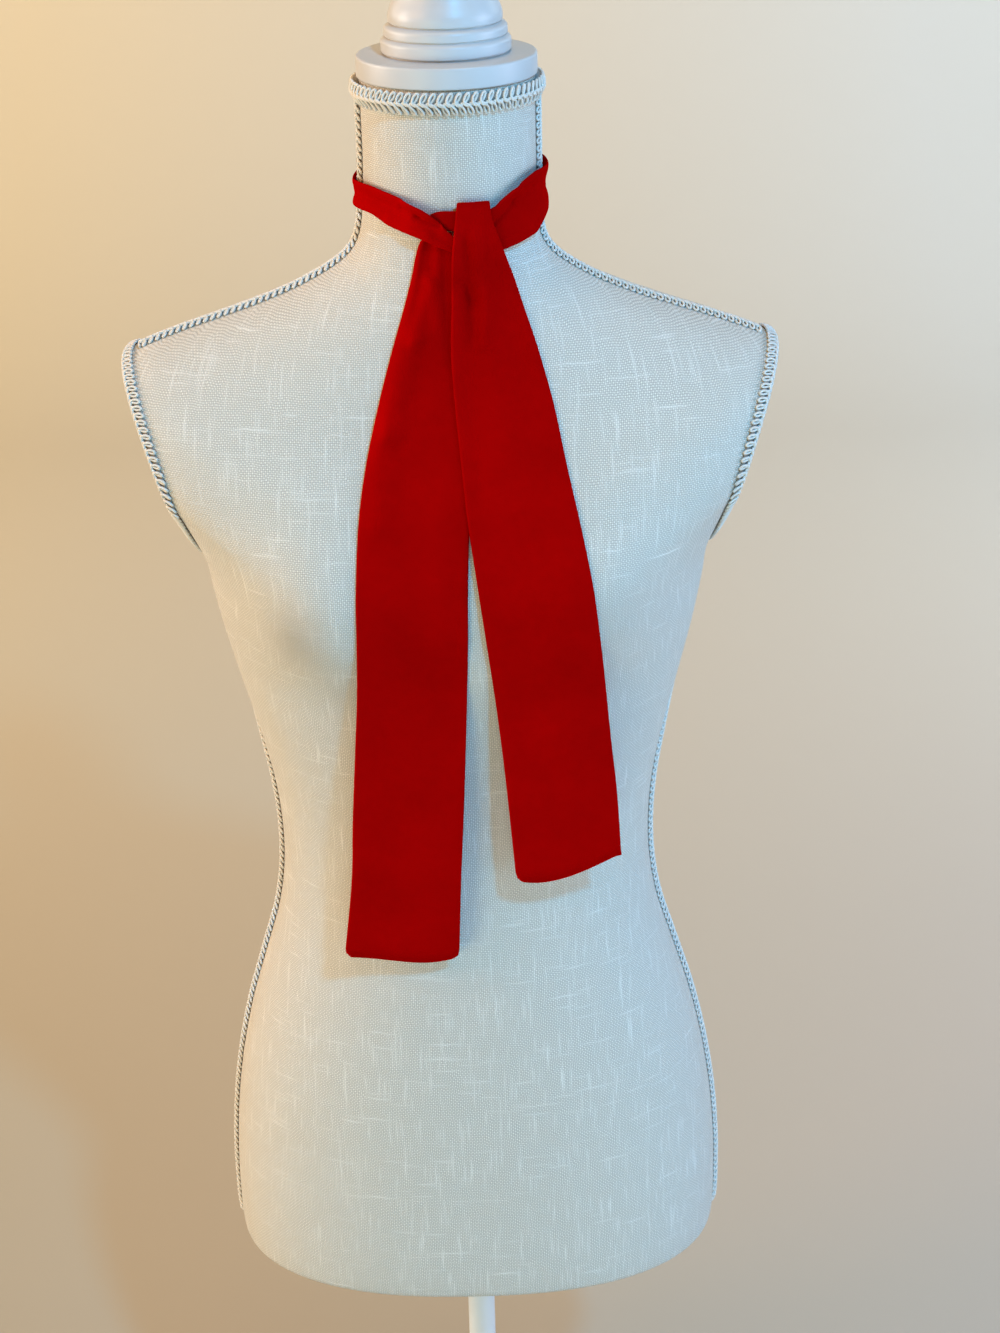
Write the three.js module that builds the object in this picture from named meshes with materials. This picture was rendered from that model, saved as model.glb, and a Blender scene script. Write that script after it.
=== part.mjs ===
// A skinny silk scarf, knotted once, worn by a limbless linen-covered dress form on a short pole and round foot.
// Millimetres, +Z up. The front faces -Y and the origin is under the middle of the foot.
// Heights in the tables are measured up from the torso's lower rim.
import * as THREE from 'three';

const standHeight = 300; // from the surface up to the torso's lower rim
const seamGap = 0.3; // between pieces that touch
const degree = Math.PI / 180;

// ---------------------------------------------------------------- small helpers

const clamp = (value, low, high) => Math.min(high, Math.max(low, value));
const mix = (a, b, share) => a + (b - a) * share;

function smooth(value, from, to) {
  const share = clamp((value - from) / (to - from), 0, 1);
  return share * share * (3 - 2 * share);
}

// A table's rows become objects with the named columns.
function table(columns, rows) {
  return rows.map((row) => Object.fromEntries(columns.map((column, index) => [column, row[index]])));
}

// A smooth (Catmull-Rom) blend of a table's rows at place 0 to rows.length - 1.
function rowAt(rows, place) {
  const at = clamp(place, 0, rows.length - 1 - 1e-9);
  const index = Math.floor(at);
  const f = at - index;
  const near = [-1, 0, 1, 2].map((step) => rows[clamp(index + step, 0, rows.length - 1)]);
  const blend = {};
  for (const column of Object.keys(rows[0])) {
    const [a, b, c, d] = near.map((row) => row[column]);
    const bend = (2 * a - 5 * b + 4 * c - d) * f * f + (3 * b - a - 3 * c + d) * f * f * f;
    blend[column] = 0.5 * (2 * b + (c - a) * f + bend);
  }
  return blend;
}

// The place between low and high where rising(place) turns from false to true.
function bisect(low, high, rising) {
  let [a, b] = [low, high];
  for (let step = 0; step < 40; step += 1) {
    const middle = (a + b) / 2;
    if (rising(middle)) b = middle;
    else a = middle;
  }
  return (a + b) / 2;
}

function solidFrom(points, faces) {
  const geometry = new THREE.BufferGeometry();
  geometry.setAttribute('position', new THREE.Float32BufferAttribute(points.flatMap((p) => [p.x, p.y, p.z]), 3));
  let volume = 0;
  for (const [a, b, c] of faces) volume += points[a].dot(points[b].clone().cross(points[c]));
  geometry.setIndex(faces.flatMap(([a, b, c]) => (volume > 0 ? [a, b, c] : [a, c, b])));
  geometry.computeVertexNormals();
  return geometry;
}

// A closed skin through rings with the same number of points. The two ends close on their middle,
// and a looped row of rings joins its last ring to its first instead.
function skinThrough(rings, looped = false) {
  const count = rings[0].length;
  const points = rings.flat();
  const faces = [];
  const bands = looped ? rings.length : rings.length - 1;
  for (let i = 0; i < bands; i += 1) {
    const low = i * count;
    const high = ((i + 1) % rings.length) * count;
    for (let j = 0; j < count; j += 1) {
      const k = (j + 1) % count;
      faces.push([low + j, high + j, high + k], [low + j, high + k, low + k]);
    }
  }
  if (!looped) {
    for (const [start, turned] of [[0, true], [(rings.length - 1) * count, false]]) {
      const middle = new THREE.Vector3();
      for (let j = 0; j < count; j += 1) middle.addScaledVector(points[start + j], 1 / count);
      points.push(middle);
      for (let j = 0; j < count; j += 1) {
        const k = (j + 1) % count;
        const face = [start + j, points.length - 1, start + k];
        faces.push(turned ? face.reverse() : face);
      }
    }
  }
  return solidFrom(points, faces);
}

// A wall of cloth: the sheet's middle points, moved half the thickness to each side and closed round its edge.
function clothWall(sheet, thickness) {
  const rows = sheet.length;
  const columns = sheet[0].length;
  const front = [];
  const back = [];
  for (let i = 0; i < rows; i += 1) {
    for (let j = 0; j < columns; j += 1) {
      const along = sheet[Math.min(i + 1, rows - 1)][j].clone().sub(sheet[Math.max(i - 1, 0)][j]);
      const across = sheet[i][Math.min(j + 1, columns - 1)].clone().sub(sheet[i][Math.max(j - 1, 0)]);
      const normal = across.cross(along).normalize();
      front.push(sheet[i][j].clone().addScaledVector(normal, thickness / 2));
      back.push(sheet[i][j].clone().addScaledVector(normal, -thickness / 2));
    }
  }
  const faces = [];
  const shift = rows * columns;
  for (let i = 0; i < rows - 1; i += 1) {
    for (let j = 0; j < columns - 1; j += 1) {
      const a = i * columns + j;
      const b = a + columns;
      faces.push([a, a + 1, b + 1], [a, b + 1, b]);
      faces.push([shift + a, shift + b + 1, shift + a + 1], [shift + a, shift + b, shift + b + 1]);
    }
  }
  const edge = [];
  for (let j = 0; j < columns - 1; j += 1) edge.push(j);
  for (let i = 0; i < rows - 1; i += 1) edge.push(i * columns + columns - 1);
  for (let j = columns - 1; j > 0; j -= 1) edge.push((rows - 1) * columns + j);
  for (let i = rows - 1; i > 0; i -= 1) edge.push(i * columns);
  for (let n = 0; n < edge.length; n += 1) {
    const a = edge[n];
    const b = edge[(n + 1) % edge.length];
    faces.push([a, shift + b, b], [a, shift + a, shift + b]);
  }
  return solidFrom([...front, ...back], faces);
}

// A trim laid along a route: an oval section, wide across the route and low on the surface below it.
function trimAlong(route, trim, looped = false) {
  const rings = route.map((stop, index) => {
    const next = looped ? route[(index + 1) % route.length] : route[Math.min(index + 1, route.length - 1)];
    const last = looped ? route[(index + route.length - 1) % route.length] : route[Math.max(index - 1, 0)];
    const tangent = next.point.clone().sub(last.point).normalize();
    const side = tangent.clone().cross(stop.out).normalize();
    const up = side.clone().cross(tangent).normalize();
    const ring = [];
    for (let j = 0; j < trim.sides; j += 1) {
      const turn = ((j + 0.5) / trim.sides) * 2 * Math.PI;
      const point = stop.point.clone().addScaledVector(up, trim.lift + Math.sin(turn) * trim.height / 2);
      ring.push(point.addScaledVector(side, Math.cos(turn) * trim.width / 2));
    }
    return ring;
  });
  return skinThrough(rings, looped);
}

function turned(profile, segments) {
  const geometry = new THREE.LatheGeometry(profile.map(([radius, height]) => new THREE.Vector2(radius, height)),
    segments);
  return geometry.rotateX(90 * degree);
}

// ---------------------------------------------------------------- the torso

// Each row is one level line of the covered form, from the neck's top down to the rim: its half width and
// height at the sides, its reach and height at the front and at the back, and how square the line is.
const torsoRows = table(['sideX', 'sideZ', 'frontY', 'frontZ', 'backY', 'backZ', 'square'], [
  [50.5, 790, 50, 790, 50, 790, 2],
  [50.5, 765, 50, 765, 50, 765, 2],
  [50.5, 742, 50, 741, 51, 743, 2],
  [51, 720, 50.5, 717, 53, 722, 2],
  [52.5, 703, 52, 696, 56, 706, 2],
  [57, 691.5, 55, 679, 61, 693, 2],
  [67, 682, 59.5, 663, 67, 680, 2],
  [87, 670.5, 65, 645, 75, 664, 2.05],
  [111, 660.5, 71.5, 627, 83, 646, 2.1],
  [136, 652, 78.5, 609, 89, 628, 2.1],
  [162, 643.5, 86, 591, 94, 610, 2.1],
  [186, 634, 93.5, 573, 97, 592, 2.15],
  [200, 623, 100, 557, 99, 575, 2.2],
  [205, 608, 104, 541, 100, 558, 2.2],
  [203, 591, 107, 526, 100, 541, 2.2],
  [194, 572, 108.5, 511, 99, 524, 2.2],
  [179, 551, 109, 497, 98, 508, 2.2],
  [166, 529, 108, 482, 96, 491, 2.2],
  [156.2, 507, 107, 466, 94, 473, 2.2],
  [152.5, 484, 103, 448, 92, 453, 2.2],
  [147, 455, 98, 427, 89, 430, 2.2],
  [139, 421, 94, 400, 86, 402, 2.2],
  [129, 380, 90, 366, 83, 367, 2.15],
  [121.5, 338, 88, 332, 82, 332, 2.1],
  [119.5, 296, 88, 294, 84, 294, 2.1],
  [124, 257, 91, 256, 91, 256, 2.15],
  [135.5, 218, 95.5, 218, 101, 218, 2.2],
  [147, 180, 100, 180, 109, 180, 2.25],
  [156, 140, 104, 140, 115, 140, 2.3],
  [162, 100, 107, 100, 118, 100, 2.3],
  [165, 62, 109, 62, 118, 62, 2.35],
  [165.5, 30, 110, 30, 115, 30, 2.4],
  [165, 10, 109.5, 10, 114, 10, 2.4],
  [163, 2.5, 107.5, 2.5, 112, 2.5, 2.4],
  [156, 0, 101, 0, 105, 0, 2.4],
]);
const lastRow = torsoRows.length - 1;

const bust = { x: 84, z: 490, reach: 20, width: 44, above: 58, below: 42 };
const neckLean = { shift: 3.2, from: 640, to: 750 }; // the neck leans a little to +X
const armhole = { x: 193.3, z: 630, slope: 0.43, hollow: 0.00105, endZ: 502, endSlope: 3 };

const leanAt = (z) => neckLean.shift * smooth(z, neckLean.from, neckLean.to);

// How far out the flat armhole end lies at a height. Below the armhole it runs clear of the torso.
function armholeX(z) {
  const drop = armhole.z - Math.max(z, armhole.endZ);
  const x = armhole.x - armhole.slope * drop + armhole.hollow * drop * drop;
  return x + Math.max(armhole.endZ - z, 0) * armhole.endSlope;
}

function bustReach(x, z) {
  const tall = z > bust.z ? bust.above : bust.below;
  return bust.reach * Math.exp(-(((Math.abs(x) - bust.x) / bust.width) ** 2) - ((z - bust.z) / tall) ** 2);
}

// The point of a level line at a turn: 0 is the +X side, 90 degrees the back and -90 degrees the front.
function openTorsoPoint(place, turn) {
  const row = rowAt(torsoRows, place);
  const c = Math.cos(turn);
  const s = Math.sin(turn);
  const front = s < 0;
  const power = 2 / row.square;
  const x = Math.sign(c) * row.sideX * Math.abs(c) ** power;
  const y = Math.sign(s) * (front ? row.frontY : row.backY) * Math.abs(s) ** power;
  const z = row.sideZ + ((front ? row.frontZ : row.backZ) - row.sideZ) * s * s;
  const swell = front ? bustReach(x, z) * Math.abs(s) ** 0.7 : 0;
  return new THREE.Vector3(x + leanAt(z), y - swell, z);
}

function torsoPoint(place, turn) {
  const point = openTorsoPoint(place, turn);
  point.x = clamp(point.x, -armholeX(point.z), armholeX(point.z));
  return point;
}

// How far the front of the torso reaches towards -Y at a place across and up.
function frontReach(x, z) {
  const across = Math.abs(x - leanAt(z));
  const sineAt = (row) => Math.sqrt(1 - Math.min((across / row.sideX) ** row.square, 1));
  const place = bisect(0, lastRow, (at) => {
    const row = rowAt(torsoRows, at);
    return row.sideZ + (row.frontZ - row.sideZ) * sineAt(row) ** 2 < z;
  });
  const row = rowAt(torsoRows, place);
  return row.frontY * sineAt(row) ** (2 / row.square) + bustReach(across, z) * sineAt(row) ** 0.7;
}

// The neck's radius at a height, where 0 faces the front and 90 degrees the +X side.
function neckRadius(turn, z) {
  const c = Math.abs(Math.sin(turn));
  const s = Math.abs(Math.cos(turn));
  const front = Math.cos(turn) > 0;
  const shareAt = (row) => {
    const ahead = front ? row.frontY : row.backY;
    return Math.atan2(s * row.sideX, c * ahead);
  };
  const place = bisect(0, lastRow, (at) => {
    const row = rowAt(torsoRows, at);
    const end = front ? row.frontZ : row.backZ;
    return row.sideZ + (end - row.sideZ) * Math.sin(shareAt(row)) ** 2 < z;
  });
  const row = rowAt(torsoRows, place);
  const angle = shareAt(row);
  return Math.hypot(row.sideX * Math.cos(angle), (front ? row.frontY : row.backY) * Math.sin(angle));
}

function formTorso() {
  const levels = 43;
  const around = 36;
  const rings = [];
  for (let i = 0; i <= levels; i += 1) {
    const ring = [];
    for (let j = 0; j < around; j += 1) {
      ring.push(torsoPoint((i / levels) * lastRow, (j / around) * 2 * Math.PI));
    }
    rings.push(ring);
  }
  return skinThrough(rings);
}

// ---------------------------------------------------------------- trims of the form

const seamCord = { width: 3.8, height: 2.8, lift: 2, sides: 6 };
const armholeBraid = { width: 8.5, height: 2.4, lift: 1.9, sides: 6 };
const neckBraid = { low: 776.5, high: 789.5, inner: 50.9, outer: 55.6, lip: 1.1 };

// The seam runs down the side of the form between two heights.
function seamRoute(side, fromZ, toZ, steps) {
  const route = [];
  const turn = side > 0 ? 0 : Math.PI;
  const placeAt = (z) => bisect(0, lastRow, (place) => rowAt(torsoRows, place).sideZ < z);
  const start = placeAt(fromZ);
  const end = placeAt(toZ);
  for (let i = 0; i <= steps; i += 1) {
    const place = mix(start, end, i / steps);
    const ahead = torsoPoint(place + 0.02, turn).sub(torsoPoint(place - 0.02, turn)).normalize();
    const out = new THREE.Vector3(-ahead.z * side, 0, ahead.x * side);
    route.push({ point: torsoPoint(place, turn), out });
  }
  return route;
}

// The rim of the flat armhole end, evenly spaced, from the shoulder tip down the front and up the back.
function armholeRoute(side, steps) {
  const outside = (place, turn) => openTorsoPoint(place, turn).x > armholeX(openTorsoPoint(place, turn).z);
  const top = bisect(9, 13, (place) => outside(place, 0));
  const bottom = bisect(15, 19, (place) => !outside(place, 0));
  const rim = (place, back) => {
    const reach = bisect(0, 90 * degree, (turn) => !outside(place, back ? turn : -turn));
    return { place, turn: back ? reach : -reach };
  };
  const marks = [];
  const fine = 120;
  for (let i = 0; i <= fine; i += 1) {
    marks.push(rim(mix(top, bottom, (1 - Math.cos((i / fine) * Math.PI)) / 2), false));
  }
  for (let i = fine - 1; i > 0; i -= 1) {
    marks.push(rim(mix(top, bottom, (1 - Math.cos((i / fine) * Math.PI)) / 2), true));
  }
  const points = marks.map((mark) => openTorsoPoint(mark.place, mark.turn));
  const walked = [0];
  for (let i = 1; i <= points.length; i += 1) {
    walked.push(walked[i - 1] + points[i % points.length].distanceTo(points[i - 1]));
  }
  const middle = new THREE.Vector3();
  points.forEach((point) => middle.addScaledVector(point, 1 / points.length));
  const route = [];
  for (let i = 0; i < steps; i += 1) {
    const want = (i / steps) * walked[points.length];
    const index = walked.findIndex((length) => length > want) - 1;
    const share = (want - walked[index]) / (walked[index + 1] - walked[index]);
    const point = points[index].clone().lerp(points[(index + 1) % points.length], share);
    const out = point.clone().sub(middle).normalize().multiplyScalar(0.35);
    out.x += 1;
    point.x *= side;
    out.x *= side;
    route.push({ point, out: out.normalize() });
  }
  return route;
}

function neckBraidSolid() {
  const { low, high, inner, outer, lip } = neckBraid;
  const profile = [[inner, low], [outer - lip, low], [outer, low + lip], [outer, high - lip], [outer - lip, high],
    [inner, high], [inner, low]];
  return turned(profile, 40).translate(leanAt(high), 0, 0);
}

// ---------------------------------------------------------------- cap, pole and foot

const cap = table(['radius', 'height'], [
  [0, 0], [51, 0], [52, 1], [52, 11], [50.5, 12.5], [36.3, 12.7], [37.2, 15], [37.2, 19.5], [35.6, 21.8],
  [34.4, 23], [34.6, 26], [33.4, 28.4], [31.2, 29.6], [32.2, 33], [31.6, 38], [28.8, 44], [26.2, 52],
  [24.5, 61], [21, 68], [15, 73], [7.5, 75.6], [0, 76.3],
]);
const foot = { radius: 155, edge: 10, domeTop: 22, hubRadius: 24, hubTop: 34 };
const poleRadius = 9.5;

function neckCap() {
  const base = torsoRows[0].sideZ + seamGap;
  return turned(cap.map((row) => [row.radius, row.height]), 28).translate(leanAt(base), 0, base);
}

function poleSolid() {
  const low = foot.hubTop + seamGap;
  const length = standHeight - seamGap - low;
  const geometry = new THREE.CylinderGeometry(poleRadius, poleRadius, length, 20).rotateX(90 * degree);
  return geometry.translate(0, 0, low + length / 2);
}

function footSolid() {
  const { radius, edge, domeTop, hubRadius, hubTop } = foot;
  return turned([[0, 0], [radius - 1.5, 0], [radius, 1.5], [radius, edge - 2], [radius - 2, edge],
    [radius * 0.6, mix(edge, domeTop, 0.55)], [hubRadius + 3, domeTop], [hubRadius, domeTop + 2],
    [hubRadius - 2, hubTop - 2], [hubRadius - 4, hubTop], [0, hubTop]], 36);
}

// ---------------------------------------------------------------- the scarf

const cloth = { bandWall: 1.4, tailWall: 1.4 };

// A soft ridge (or, with a negative height, a trough) that runs along a piece: where it lies across the piece,
// how wide it is, how high, and the stretch of the piece that has it.
const foldColumns = ['across', 'width', 'height', 'from', 'until'];

function foldsAt(folds, across, along, fade) {
  let height = 0;
  for (const fold of folds) {
    const inside = smooth(along, fold.from - fade, fold.from + fade)
      * (1 - smooth(along, fold.until - fade, fold.until + fade));
    height += fold.height * inside * Math.exp(-(((across - fold.across) / fold.width) ** 2));
  }
  return height;
}

// Bands lie round the neck: the turn round it in degrees, the heights of the lower and upper edge, and how far
// the cloth's middle stands off the neck.
const bandColumns = ['turn', 'low', 'high', 'lift'];

const bands = {
  left: {
    rows: table(bandColumns, [
      [-150, 716, 737, 2.4], [-125, 715.5, 736, 2.8], [-103, 716.3, 733.5, 4.2], [-88, 717, 732, 4.8],
      [-72, 717.8, 733.4, 4.2], [-56, 717.6, 733.7, 2.9], [-42, 714, 732, 2.6], [-31, 711.6, 730.2, 3.6],
      [-22, 710.4, 728, 6.6], [-14, 708.2, 725, 8.2], [-7, 705.2, 719.6, 8.4], [-1, 702.7, 713.6, 8.4],
      [5, 700.2, 708.2, 8.2],
    ]),
    folds: table(foldColumns, [
      [0.95, 0.22, 0.9, 0, 9], [0.5, 0.2, -0.8, 5, 10.5], [0.1, 0.2, 0.8, 3, 12],
    ]),
    stops: 24,
  },
  right: {
    rows: table(bandColumns, [
      [150, 715, 739, 2.4], [125, 714, 739.5, 3], [104, 713, 739.2, 5], [90, 711.5, 738.4, 5.6],
      [77, 709.3, 739, 5.4], [63, 704.2, 739.2, 4.9], [54, 702.6, 737.6, 4.7], [46, 701.2, 735, 4.7],
      [39, 699.9, 731.6, 4.7], [32, 699, 727.6, 4.7], [26, 700.4, 724, 4.7], [18, 704, 722.8, 4.7],
      [10, 708.5, 723.4, 4.7], [2, 712.3, 723.8, 4.7], [-6, 713.2, 723.6, 4.7], [-12, 713.6, 721.6, 4.6],
    ]),
    folds: table(foldColumns, [
      [0.97, 0.2, 1, 0, 8], [0.62, 0.16, -0.9, 2, 8.5], [0.15, 0.25, 0.7, 1, 7.5],
    ]),
    stops: 26,
  },
  back: {
    rows: table(bandColumns, [
      [150.5, 715, 739, 2.4], [170, 716.3, 740.3, 2.2], [190, 716.8, 739.6, 2.2], [209.5, 716, 737, 2.4],
    ]),
    folds: table(foldColumns, [[0.6, 0.18, -0.7, -1, 4], [0.2, 0.2, 0.6, -1, 4]]),
    stops: 10,
  },
};

function bandSheet({ rows, folds, stops }) {
  const acrossSteps = 6;
  const sheet = [];
  for (let i = 0; i <= stops; i += 1) {
    const along = (i / stops) * (rows.length - 1);
    const row = rowAt(rows, along);
    const turn = row.turn * degree;
    const line = [];
    for (let j = 0; j <= acrossSteps; j += 1) {
      const z = mix(row.low, row.high, j / acrossSteps);
      const radius = neckRadius(turn, z) + row.lift + foldsAt(folds, j / acrossSteps, along, 0.8);
      line.push(new THREE.Vector3(leanAt(z) + radius * Math.sin(turn), -radius * Math.cos(turn), z));
    }
    sheet.push(line);
  }
  return sheet;
}

// Tails lie on the chest down to the bust and hang free below it: the heights of the left and right edge,
// their places across, and how far each stands off the form.
const tailColumns = ['leftZ', 'rightZ', 'leftX', 'rightX', 'leftLift', 'rightLift'];

const tails = {
  left: {
    rows: table(tailColumns, [
      [708, 711.5, -12.5, 4, 4.2, 4.3], [705, 708, -14.8, 5, 3.6, 4.2], [697, 699, -17.2, 7, 2.6, 3.4],
      [685, 686, -20, 8.5, 2.3, 2.9], [668, 668, -25, 10, 2.2, 2.4], [645, 645, -32.6, 11.3, 2.1, 2.1],
      [615, 615, -41.6, 12.6, 2, 2], [585, 585, -49.2, 12.9, 2, 2], [555, 554, -54.2, 9.8, 2, 2.2],
      [520, 519, -56.8, 7.8, 2, 2.4], [485, 484, -58, 6.8, 2.2, 3], [450, 449, -59.8, 5.3, 2.2, 3.4],
      [410, 408, -63, 3.2, 2, 3.6], [365, 363, -66.6, 0.6, 2, 3.6], [325, 322, -69.4, -2.2, 2, 3.6],
      [274.5, 269.5, -75, -5.8, 1.6, 3.2],
    ]),
    folds: table(foldColumns, [
      [0.08, 0.1, 1.6, -1, 7], [0.32, 0.12, -0.9, 0, 5.5], [0.55, 0.14, 1.1, -1, 5],
    ]),
    stops: 38,
    rounding: 3,
    sag: 3,
  },
  right: {
    rows: table(tailColumns, [
      [709, 709, 9.5, 24, 1.8, 1.8], [716, 716, 8.6, 24.6, 1.8, 1.8], [722.5, 722.5, 7.9, 25.2, 1.9, 1.9],
      [726.8, 726.4, 7.6, 25.5, 3.6, 3.6], [728.4, 727.8, 7.4, 25.7, 6.6, 6.6],
      [726.8, 726, 7, 26, 9.8, 9.8], [721.5, 721, 6.4, 26.6, 11.4, 11.4], [714, 714, 5.4, 28.4, 12, 12],
      [706, 705, 4.4, 31.6, 11.8, 11.2], [696, 695, 3.5, 34.6, 10.4, 8.2], [684, 683, 3.1, 38.6, 8.6, 4.6],
      [668, 667, 2.6, 43.8, 7, 3], [645, 644, 1.6, 51.6, 6, 2.2], [615, 614, 3.2, 60, 5.4, 2],
      [585, 584, 5.8, 66.2, 5.2, 2], [555, 554, 8.6, 73, 5.2, 2], [520, 520, 13, 79.6, 5, 2],
      [488, 489, 16.8, 83.4, 4.4, 2], [455, 457, 20.4, 86.6, 4.2, 2], [415, 418, 24.6, 90, 4.4, 2],
      [375, 381, 28.6, 92.9, 4.6, 2], [322, 337, 34, 95.6, 4.2, 1.6],
    ]),
    folds: table(foldColumns, [
      [0.04, 0.1, 2.2, 7, 13.5], [0.27, 0.1, -1.6, 7.5, 12], [0.5, 0.13, 1.8, 7, 12],
      [0.78, 0.12, -0.8, 7.5, 13],
    ]),
    stops: 52,
    rounding: 3,
    sag: 5,
  },
};
const hang = { from: 492, flat: 150, swing: 5 }; // height of the bust's ledge, and how the cloth leaves it

function tailSheet({ rows, folds, stops, rounding, sag }) {
  const acrossSteps = 9;
  const sheet = [];
  for (let i = 0; i <= stops; i += 1) {
    const along = (i / stops) * (rows.length - 1);
    const row = rowAt(rows, along);
    const dip = sag * smooth(along, rows.length - 3, rows.length - 1);
    const line = [];
    for (let j = 0; j <= acrossSteps; j += 1) {
      const across = j / acrossSteps;
      const x = mix(row.leftX, row.rightX, across);
      const z = mix(row.leftZ, row.rightZ, across) - dip * Math.sin(across * Math.PI);
      const lift = mix(row.leftLift, row.rightLift, across) + foldsAt(folds, across, along, 0.8);
      const free = Math.max(hang.from - z, 0);
      const middleX = (row.leftX + row.rightX) / 2;
      const resting = frontReach(x, Math.max(z, hang.from));
      const level = frontReach(middleX, hang.from);
      const reach = mix(resting, level, smooth(free, 0, hang.flat)) - hang.swing * smooth(free, 0, hang.flat / 3);
      line.push(new THREE.Vector3(x, -(reach + lift), z));
    }
    sheet.push(line);
  }
  const end = sheet[sheet.length - 1]; // the pressed corners are a little round
  for (const corner of [0, acrossSteps]) {
    end[corner].z += rounding;
    end[corner].x += corner === 0 ? rounding * 0.4 : -rounding * 0.4;
  }
  return sheet;
}

// ---------------------------------------------------------------- colours and assembly

const finish = {
  silk: { color: 0x960305, roughness: 0.55, metalness: 0 },
  linen: { color: 0xd8d0c2, roughness: 0.92, metalness: 0 },
  braid: { color: 0xe2dccf, roughness: 0.85, metalness: 0 },
  paint: { color: 0xf0f1f2, roughness: 0.28, metalness: 0 },
};

function piece(name, geometry, look) {
  const mesh = new THREE.Mesh(geometry, new THREE.MeshStandardMaterial(look));
  mesh.name = name;
  return mesh;
}

const part = new THREE.Group();
part.add(piece('stand_foot', footSolid(), finish.paint));
part.add(piece('pole', poleSolid(), finish.paint));

const upper = new THREE.Group();
upper.position.z = standHeight;
part.add(upper);

upper.add(piece('form_torso', formTorso(), finish.linen));
upper.add(piece('neck_cap', neckCap(), finish.paint));
upper.add(piece('neck_braid', neckBraidSolid(), finish.braid));
for (const [name, side] of [['left', -1], ['right', 1]]) {
  upper.add(piece(`shoulder_cord_${name}`, trimAlong(seamRoute(side, 775, 637, 26), seamCord), finish.braid));
  upper.add(piece(`side_cord_${name}`, trimAlong(seamRoute(side, 491, 4, 22), seamCord), finish.braid));
  upper.add(piece(`armhole_braid_${name}`, trimAlong(armholeRoute(side, 32), armholeBraid, true), finish.braid));
}
for (const [name, band] of Object.entries(bands)) {
  upper.add(piece(`scarf_band_${name}`, clothWall(bandSheet(band), cloth.bandWall), finish.silk));
}
for (const [name, tail] of Object.entries(tails)) {
  upper.add(piece(`scarf_tail_${name}`, clothWall(tailSheet(tail), cloth.tailWall), finish.silk));
}

export default part;
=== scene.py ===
from math import pi, radians

import bpy
import numpy as np
from mathutils import Matrix, Vector


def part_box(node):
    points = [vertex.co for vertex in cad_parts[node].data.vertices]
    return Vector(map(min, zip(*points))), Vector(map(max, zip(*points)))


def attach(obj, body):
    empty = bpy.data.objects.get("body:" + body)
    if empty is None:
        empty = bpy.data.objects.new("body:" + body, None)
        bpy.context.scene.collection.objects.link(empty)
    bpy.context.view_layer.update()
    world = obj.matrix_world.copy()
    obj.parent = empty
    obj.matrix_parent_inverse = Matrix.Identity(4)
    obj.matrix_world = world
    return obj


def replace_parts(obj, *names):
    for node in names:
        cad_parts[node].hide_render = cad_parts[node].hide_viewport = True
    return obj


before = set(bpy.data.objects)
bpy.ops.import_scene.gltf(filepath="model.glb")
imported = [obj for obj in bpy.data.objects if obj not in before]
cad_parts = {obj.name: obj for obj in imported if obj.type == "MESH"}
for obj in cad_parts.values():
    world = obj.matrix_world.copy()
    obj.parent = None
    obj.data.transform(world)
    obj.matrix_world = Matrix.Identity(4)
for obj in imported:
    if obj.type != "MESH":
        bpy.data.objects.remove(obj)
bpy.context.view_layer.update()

# A skinny silk scarf knotted round the neck of a linen dress form. The form's front faces -Y.
# Shapes are worked out in millimetres, with heights up from the torso's lower rim, and stored in metres.

mm = 0.001
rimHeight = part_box("form_torso")[0][2] / mm
print("frame loaded, lower rim at", round(rimHeight, 1), "mm")


# Small helpers

def smooth(value, start, end):
    share = np.clip((value - start) / (end - start), 0, 1)
    return share * share * (3 - 2 * share)


def mix(a, b, share):
    return a + (b - a) * share


def unit(v):
    return v / np.maximum(np.linalg.norm(v, axis=-1, keepdims=True), 1e-9)


def walkedAlong(points):
    # the distance walked from the first point to each of the others
    return np.concatenate([[0], np.cumsum(np.linalg.norm(np.diff(points, axis=0), axis=1))])


def tangents(points, closed):
    # at each point, the direction from the point before it to the point after it
    if closed:
        return unit(np.roll(points, -1, 0) - np.roll(points, 1, 0))
    return unit(np.gradient(points, axis=0))


def rowsAt(rows, place):
    # Catmull-Rom: a cubic between the two nearest rows of the table, bent by the rows beyond them
    rows = np.asarray(rows, float)
    place = np.clip(place, 0, len(rows) - 1 - 1e-9)
    index = np.floor(place).astype(int)
    f = (place - index)[..., None]
    a, b, c, d = (rows[np.clip(index + step, 0, len(rows) - 1)] for step in (-1, 0, 1, 2))
    bend = (2 * a - 5 * b + 4 * c - d) * f**2 + (3 * b - a - 3 * c + d) * f**3
    return np.moveaxis(0.5 * (2 * b + (c - a) * f + bend), -1, 0)


def gridFaces(rows, columns, loopRows=False, loopColumns=False):
    # four corners of every cell of a grid, as vertex numbers; a looped side wraps to its start
    i = np.arange(rows if loopRows else rows - 1)[:, None]
    j = np.arange(columns if loopColumns else columns - 1)[None, :]
    up, right = (i + 1) % rows, (j + 1) % columns
    corners = [i * columns + j, i * columns + right, up * columns + right, up * columns + j]
    return np.stack([np.broadcast_to(c, (i.size, j.size)) for c in corners], -1).reshape(-1, 4)


def gridMaps(across, along, loopRows=False, loopColumns=False):
    # the map place of each cell corner, so that a looped side carries on past its last line
    rows, columns = across.shape
    place = np.stack([across, along], -1)
    if loopColumns:
        place = np.concatenate([place, 2 * place[:, -1:] - place[:, -2:-1]], 1)
    if loopRows:
        place = np.concatenate([place, 2 * place[-1:] - place[-2:-1]], 0)
    parts = [place[:-1, :-1], place[:-1, 1:], place[1:, 1:], place[1:, :-1]]
    return np.stack(parts, 2).reshape(-1, 4, 2)


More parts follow.
